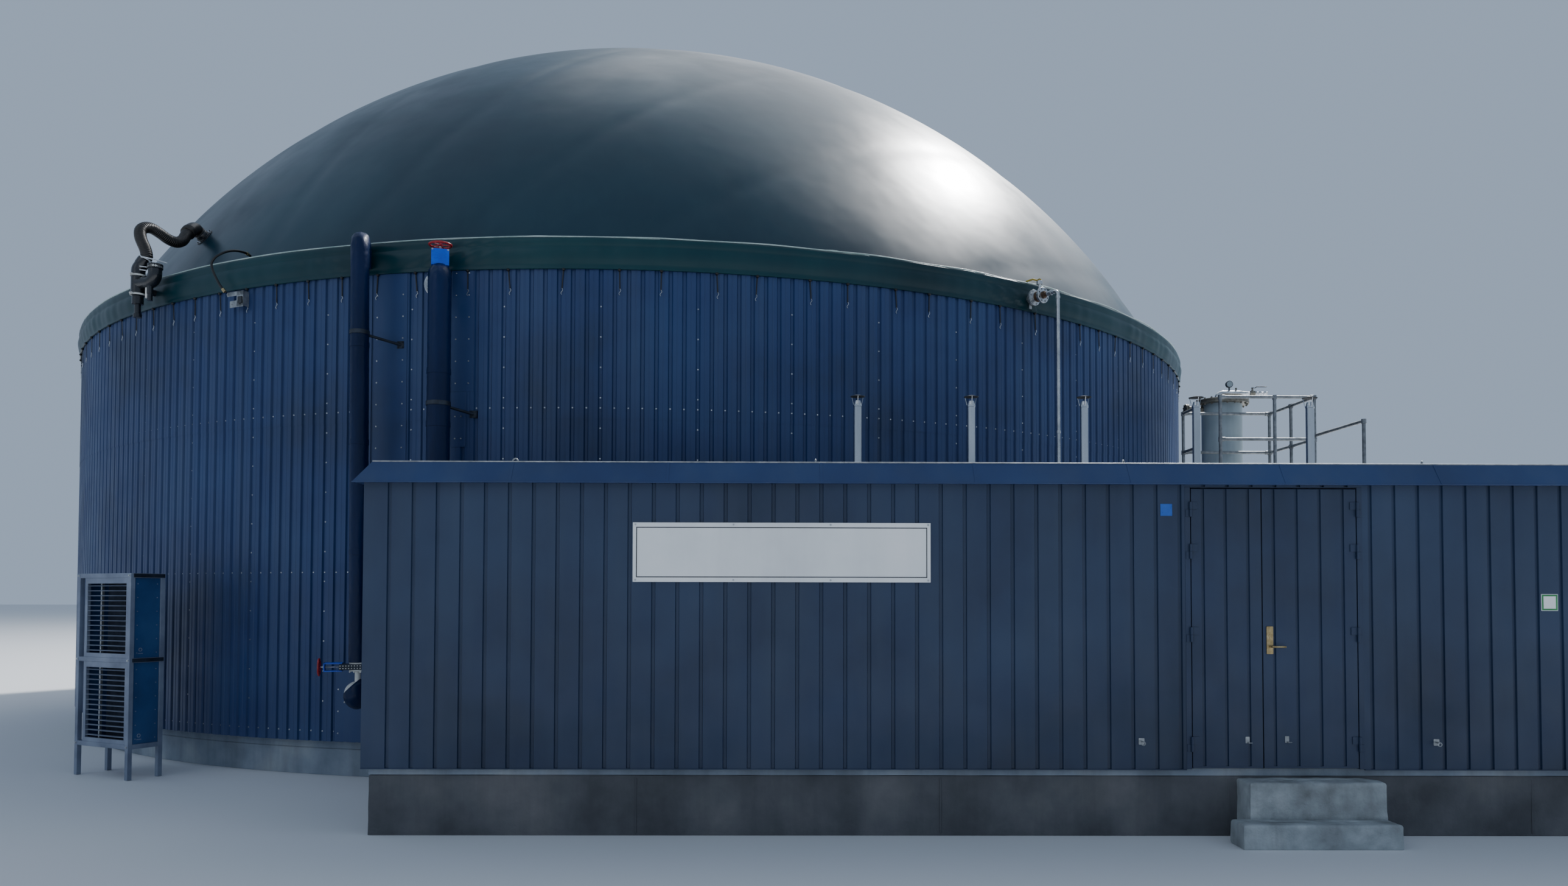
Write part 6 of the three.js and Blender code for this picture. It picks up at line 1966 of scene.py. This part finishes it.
piece("vessel_ring", vessel_ring, "plant", zinc_brown, 40)
lid_parts = gather(
    placed(disc_flange(LID_R, LID_FOOT + 0.0004, LID_TOP), lid_axis),
    placed(bolt_ring(0.342, LID_BOLTS, VESSEL_HEAD, LID_TOP, 0.015), lid_axis),
)
vessel_lid = piece("vessel_lid_plate", lid_parts, "plant", zinc_brown, 40)
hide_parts("vessel_lid")
outlet_path = bent(
    [at_vessel(OUTLET_X, LID_TOP), at_vessel(OUTLET_X, OUTLET_Z), at_vessel(9.383, OUTLET_Z)], 0.090
)
outlet_x = outlet_path[:, 0]
outlet_radius = np.interp(
    outlet_x, [OUTLET_X, 8.98, 9.07, 9.10, 9.383], [0.036, 0.034, 0.024, 0.020, 0.020]
)
outlet_parts = gather(
    tube(outlet_path, outlet_radius, 28, (0, 1, 0)),
    rods(
        [at_vessel(x, OUTLET_Z) for x in (9.205, 9.255, 9.330)],
        [at_vessel(x, OUTLET_Z) for x in (9.232, 9.295, 9.365)], [0.030, 0.026, 0.028], 6,
    ),
)
piece("vessel_outlet", outlet_parts, "plant", bright_steel, 40)
valve_parts = gather(
    rods(
        at_vessel(OUTLET_VALVE_X - 0.035, OUTLET_Z),
        at_vessel(OUTLET_VALVE_X + 0.035, OUTLET_Z), 0.036, 6,
    ),
    turned([
        (0.026, OUTLET_Z), (0.026, 4.990), (0.015, 4.996), (0.015, 5.016), (0.010, 5.018), (0.010, 5.035),
    ], 24, at_vessel(OUTLET_VALVE_X, 0)),
    rods(at_vessel(8.930, OUTLET_Z), at_vessel(8.930, 5.040), 0.009, 12),
    rods(at_vessel(8.930, 5.020), at_vessel(8.930, 5.040), 0.014, 6),
)
piece("vessel_small_valve", valve_parts, "plant", zinc_brown, 40)
gauge_ring = gather(
    placed(turned([(0.036, -0.020), (GAUGE_R, -0.016), (GAUGE_R, 0.016), (0.044, 0.020)], 40),
           at_vessel(GAUGE_X, GAUGE_Z), (1, 0, 0), (0, 0, 1), (0, -1, 0)),
    rods(at_vessel(GAUGE_X, OUTLET_Z), at_vessel(GAUGE_X, GAUGE_Z - 0.045), 0.011, 16),
)
piece("gauge_case", gauge_ring, "plant", dark_steel_and_painted_shade, 40)
gauge_face = rods((GAUGE_X, -5.5215, GAUGE_Z), (GAUGE_X, -5.519, GAUGE_Z), 0.041, 40)
piece("gauge_face", gauge_face, "plant", vessel_grey)
vessel_lever_parts = gather(
    turned([(0.016, 0), (0.018, 0.002), (0.018, 0.010)], 24),
    blocks([(0, 0.045, -0.010, 0.010, 0.002, 0.009)]),
    tube([(0.040, 0, 0.006), (0.062, 0, 0.024), (0.085, 0, 0.024), (0.205, 0, 0.024)],
         np.array([0.006, 0.007, 0.007, 0.0065]), 12, (0, 1, 0)),
)
vessel_lever = piece(
    "vessel_lever_bar", placed(vessel_lever_parts, at_vessel(OUTLET_VALVE_X, 5.0354)),
    "vessel_lever", dark_steel_and_painted_shade, 40,
)
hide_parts("vessel_valve_lever")

# Platform. Galvanised tubes held in key clamps, with a bar grating deck. The middle of its left
# side is left open for a ladder.
DECK_LEFT, DECK_RIGHT, DECK_FRONT, DECK_BACK = 8.020, 9.245, -7.150, -5.863
LADDER_POST = -6.300
MIDDLE_POST = 8.7275
RAIL_R = 0.021
BEAM_Z, MID_RAIL, TOP_RAIL = 3.430, 4.050, 4.600
FRONT_RAIL = 4.097
FRONT_RAIL_END = -8.330
CLAMP_R, CLAMP_HALF, JOIST_IN = 0.028, 0.034, 0.2
DECK_TOP, GRATING_FOOT = 3.500, 3.4514
side_middle = (DECK_FRONT + DECK_BACK) / 2
corner_posts = [
    (DECK_LEFT, DECK_FRONT), (DECK_RIGHT, DECK_FRONT), (DECK_LEFT, DECK_BACK), (DECK_RIGHT, DECK_BACK),
    (DECK_LEFT, LADDER_POST),
]
rail_bars = [((x, y, 0), (x, y, TOP_RAIL)) for x, y in corner_posts]
for z in (BEAM_Z, MID_RAIL, TOP_RAIL):
    rail_bars += [
        ((DECK_LEFT, DECK_FRONT, z), (DECK_RIGHT, DECK_FRONT, z)),
        ((DECK_LEFT, DECK_BACK, z), (DECK_RIGHT, DECK_BACK, z)),
        ((DECK_LEFT, LADDER_POST, z), (DECK_LEFT, DECK_BACK, z)),
        ((DECK_RIGHT, DECK_FRONT, z), (DECK_RIGHT, DECK_BACK, z)),
    ]
rail_bars += [
    ((DECK_LEFT, y, BEAM_Z), (DECK_RIGHT, y, BEAM_Z))
    for y in (DECK_FRONT + JOIST_IN, side_middle, DECK_BACK - JOIST_IN)
]
rail_bars += [
    ((DECK_LEFT, DECK_FRONT, BEAM_Z), (DECK_LEFT, LADDER_POST, BEAM_Z)),
    ((MIDDLE_POST, DECK_FRONT, BEAM_Z), (MIDDLE_POST, DECK_FRONT, TOP_RAIL)),
    ((DECK_RIGHT, side_middle, BEAM_Z), (DECK_RIGHT, side_middle, TOP_RAIL)),
    ((DECK_RIGHT, DECK_FRONT, FRONT_RAIL), (DECK_RIGHT, FRONT_RAIL_END, FRONT_RAIL)),
    ((DECK_RIGHT, FRONT_RAIL_END, 0), (DECK_RIGHT, FRONT_RAIL_END, FRONT_RAIL + RAIL_R)),
    ((VESSEL[0], DECK_BACK, BEAM_Z), (VESSEL[0], VESSEL[1] - VESSEL_R, BEAM_Z)),
]
rail_starts, rail_ends = (np.array([bar[i] for bar in rail_bars]) for i in (0, 1))
joint_spots = [(x, y, z) for x, y in corner_posts for z in (MID_RAIL, TOP_RAIL)]
joint_spots = np.array(joint_spots + [
    (MIDDLE_POST, DECK_FRONT, TOP_RAIL), (DECK_RIGHT, side_middle, TOP_RAIL),
    (DECK_RIGHT, side_middle, MID_RAIL),
    (DECK_RIGHT, FRONT_RAIL_END, FRONT_RAIL),
])
upright_clamps = rods(joint_spots - [0, 0, CLAMP_HALF], joint_spots + [0, 0, CLAMP_HALF * 0.7], CLAMP_R, 20)
front_joints = np.array([
    (x + side * 0.028, DECK_FRONT, z)
    for x, side in ((DECK_LEFT, 1), (DECK_RIGHT, -1)) for z in (MID_RAIL, TOP_RAIL)
])
front_clamps = rods(front_joints - [0.028, 0, 0], front_joints + [0.028, 0, 0], CLAMP_R, 20)
side_joints = np.array(
    [
        (DECK_RIGHT, y, z)
        for y in (DECK_FRONT + 0.028, side_middle, DECK_BACK - 0.028) for z in (MID_RAIL, TOP_RAIL)
    ]
)
side_clamps = rods(side_joints - [0, CLAMP_HALF, 0], side_joints + [0, CLAMP_HALF, 0], CLAMP_R, 20)
back_joints = np.array(
    [(x, DECK_BACK, z) for x in (DECK_LEFT + 0.03, DECK_RIGHT - 0.03) for z in (MID_RAIL, TOP_RAIL)]
)
back_clamps = rods(back_joints - [0.03, 0, 0], back_joints + [0.03, 0, 0], CLAMP_R, 20)
platform_zinc = finish(
    "platform_zinc", ("6c7276", "868b8e", "9fa3a5"), 16, (0.38, 0.55), 0.6, (180, 0.0004), ("5c5446", 0.35)
)
platform_rails = piece(
    "platform_tubes",
    gather(
        rods(rail_starts, rail_ends, RAIL_R, 24), upright_clamps, front_clamps, side_clamps,
        back_clamps,
    ),
    "plant", platform_zinc, 40,
)
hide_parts("platform_rails")
DECK_INSET = 0.030
BAR_STEP, CROSS_STEP = 0.033, 0.100
deck_x0, deck_x1 = DECK_LEFT + DECK_INSET, DECK_RIGHT - DECK_INSET
deck_y0, deck_y1 = DECK_FRONT + DECK_INSET, DECK_BACK - DECK_INSET
grating_x = np.arange(deck_x0 + BAR_STEP, deck_x1 - 0.01, BAR_STEP)
grating_y = np.arange(deck_y0 + CROSS_STEP, deck_y1 - 0.01, CROSS_STEP)
grating = blocks(
    [(x - 0.0015, x + 0.0015, deck_y0, deck_y1, DECK_TOP - 0.030, DECK_TOP) for x in grating_x]
    + [(deck_x0, deck_x1, y - 0.003, y + 0.003, DECK_TOP - 0.008, DECK_TOP - 0.001) for y in grating_y]
    + [
        (deck_x0, deck_x1, deck_y0, deck_y0 + 0.004, GRATING_FOOT, DECK_TOP),
        (deck_x0, deck_x1, deck_y1 - 0.004, deck_y1, GRATING_FOOT, DECK_TOP),
        (deck_x0, deck_x0 + 0.004, deck_y0, deck_y1, GRATING_FOOT, DECK_TOP),
        (deck_x1 - 0.004, deck_x1, deck_y0, deck_y1, GRATING_FOOT, DECK_TOP),
    ]
)
platform_deck = piece("platform_grating", grating, "plant", platform_zinc)
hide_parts("platform_deck")

# Cooler. Two louvred fan coolers stand one above the other in a frame of light angle steel, with
# dark blue riveted sides and a dark lip over each. A dark gap is left at the frame's left side.
COOLER_PLACE, COOLER_TURN = (-4.695, -9.380, 0), math.radians(-27)
COOLER_WIDTH, COOLER_DEPTH, COOLER_TOP = 0.950, 0.390, 2.230
LEG = 0.050
COOLER_LEVELS = [0.330, 1.260, 2.180]
UNIT_LEFT, UNIT_RIGHT = -0.814, -0.0504
UNIT_FRONT, UNIT_BACK = 0.012, 0.378
SLATS = 14
COOLER_SHEET = 0.004
LOUVRE_FOOT, LOUVRE_HEAD = 0.045, 0.060  # in from a unit's foot and head
COOLER_UNITS = {"cooler_unit_lower": (0.3804, 1.2596), "cooler_unit_upper": (1.3104, 2.1796)}
louvre_grey = finish(
    "louvre_paint", ("6a7386", "7d879a", "909aab"), 3, (0.36, 0.52), 0.1, (140, 0.0003), ("59606c", 0.25)
)
cooler_blue = finish(
    "cooler_side_coat", ("1f3f68", "294d7b", "355d8c"), 1.5, (0.34, 0.52), 0.05, (150, 0.0003),
    ("43526a", 0.3)
)
dark_inside = finish("cooler_inside", ("2a3140", "363e4e", "454e60"), 9, (0.55, 0.75))
cooler_x = (math.cos(COOLER_TURN), math.sin(COOLER_TURN), 0)
cooler_y = (-math.sin(COOLER_TURN), math.cos(COOLER_TURN), 0)


def cooler_piece(name, shape, material, crease=35, bevel=0.0):
    """A piece drawn in the cooler's own frame: x along its front, y inward."""
    return piece(
        name, placed(shape, COOLER_PLACE, cooler_x, cooler_y), "plant", material, crease, bevel,
    )


far = COOLER_DEPTH - LEG
frame_bars = [
    (x, x + LEG, y, y + LEG, 0, COOLER_TOP) for x in (-COOLER_WIDTH, -LEG) for y in (0, far)
]
for z in COOLER_LEVELS:
    frame_bars += [
        (-COOLER_WIDTH + LEG, -LEG, 0.001, LEG, z, z + LEG),
        (-COOLER_WIDTH + LEG, -LEG, far, COOLER_DEPTH - 0.001, z, z + LEG),
        (-COOLER_WIDTH + 0.001, -COOLER_WIDTH + LEG, LEG, far, z, z + LEG),
        (-LEG, -0.001, LEG, far, z, z + LEG),
    ]
cooler_frame = cooler_piece("cooler_frame_bars", blocks(frame_bars), louvre_grey, bevel=0.003)
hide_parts("cooler_frame")
frame_bolts = np.array([
    (x, 0.0, z + 0.025) for x in (-COOLER_WIDTH + 0.025, -0.025) for z in COOLER_LEVELS
])
cooler_piece("cooler_frame_bolts", screws(frame_bolts, FORWARD, 0.012, 0.008), bright_steel)
lips = blocks(
    [
        (-LEG + 0.0505, 0.012, 0.030, COOLER_DEPTH - 0.010, z + 0.006, z + LEG - 0.004)
        for z in COOLER_LEVELS[1:]
    ]
)
cooler_piece("cooler_side_lips", lips, dark_steel_and_painted_shade, bevel=0.002)
louvre_left, louvre_right = UNIT_LEFT + 0.045, UNIT_RIGHT - 0.030
inner_left, inner_right = UNIT_LEFT + COOLER_SHEET, UNIT_RIGHT - COOLER_SHEET
shell_front = UNIT_FRONT + 0.030
for unit_name, (foot, head) in COOLER_UNITS.items():
    shell = cooler_piece(
        unit_name + "_shell",
        blocks([
            (UNIT_LEFT, inner_left, shell_front, UNIT_BACK, foot, head),
            (inner_right, UNIT_RIGHT + 0.040, UNIT_FRONT + 0.040, UNIT_BACK - 0.040, foot, head),
            (inner_left, inner_right, shell_front, UNIT_BACK, foot, foot + COOLER_SHEET),
            (inner_left, inner_right, shell_front, UNIT_BACK, head - COOLER_SHEET, head),
            (
                inner_left, inner_right, UNIT_BACK - COOLER_SHEET, UNIT_BACK, foot + COOLER_SHEET,
                head - COOLER_SHEET,
            ),
        ]),
        cooler_blue, bevel=0.0015,
    )
    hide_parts(unit_name)
    rivet_z = np.arange(foot + 0.055, head - 0.03, 0.150)
    rivet_grid = np.array([(UNIT_RIGHT + 0.040, y, z) for y in (0.085, 0.305) for z in rivet_z])
    side_rivets = screws(rivet_grid, np.array([1.0, 0, 0]), 0.006, 0.005)
    gland = placed(
        turned([(0.013, 0.0), (0.013, 0.004), (0.021, 0.004), (0.021, 0.0)], 24, ring=True),
        (UNIT_RIGHT + 0.040, 0.125, foot + 0.090), (0, 1, 0), (0, 0, 1), (1, 0, 0),
    )
    gland_label = blocks(
        [(UNIT_RIGHT + 0.038, UNIT_RIGHT + 0.041, 0.100, 0.155, foot + 0.044, foot + 0.052)]
    )
    cooler_piece(unit_name + "_gland", gather(gland, gland_label), louvre_grey)
    cooler_piece(unit_name + "_rivets", side_rivets, louvre_grey)
    face_frame = blocks([
        (UNIT_LEFT, louvre_left, 0.004, 0.040, foot, head),
        (louvre_right, UNIT_RIGHT, 0.004, 0.040, foot, head),
        (louvre_left, louvre_right, 0.004, 0.040, foot, foot + LOUVRE_FOOT),
        (louvre_left, louvre_right, 0.004, 0.040, head - LOUVRE_HEAD, head),
    ])
    opening_foot, opening_head = foot + LOUVRE_FOOT, head - LOUVRE_HEAD
    pitch = (opening_head - opening_foot) / SLATS
    slat_z = opening_foot + pitch * (np.arange(SLATS) + 0.55)
    slat_loop = np.array(
        [(0.006, -0.004), (0.010, -0.006), (0.034, 0.003), (0.034, 0.006), (0.008, -0.001)]
    )
    slat_ends = np.array([louvre_left, louvre_right])[None, :, None]
    slat_rows = np.stack(np.broadcast_arrays(
        slat_ends, slat_loop[None, None, :, 0], slat_z[:, None, None] + slat_loop[None, None, :, 1]
    ), -1)
    cooler_piece(
        unit_name + "_louvre", gather(face_frame, skin(slat_rows)), louvre_grey,
        bevel=0.001,
    )
    bar_x = louvre_left + (louvre_right - louvre_left) * 0.27
    mullion = blocks([(bar_x - 0.012, bar_x + 0.012, 0.042, 0.070, foot + 0.004, head - 0.004)])
    cooler_piece(unit_name + "_mullion", mullion, galvanised, bevel=0.002)
    fins = np.arange(bar_x + 0.03, louvre_right, 0.010)
    core = blocks(
        [(bar_x + 0.012, louvre_right, 0.115, 0.160, foot + 0.01, head - 0.01)]
        + [(x, x + 0.002, 0.105, 0.116, foot + 0.02, head - 0.02) for x in fins]
    )
    cooler_piece(unit_name + "_core", core, dark_inside)
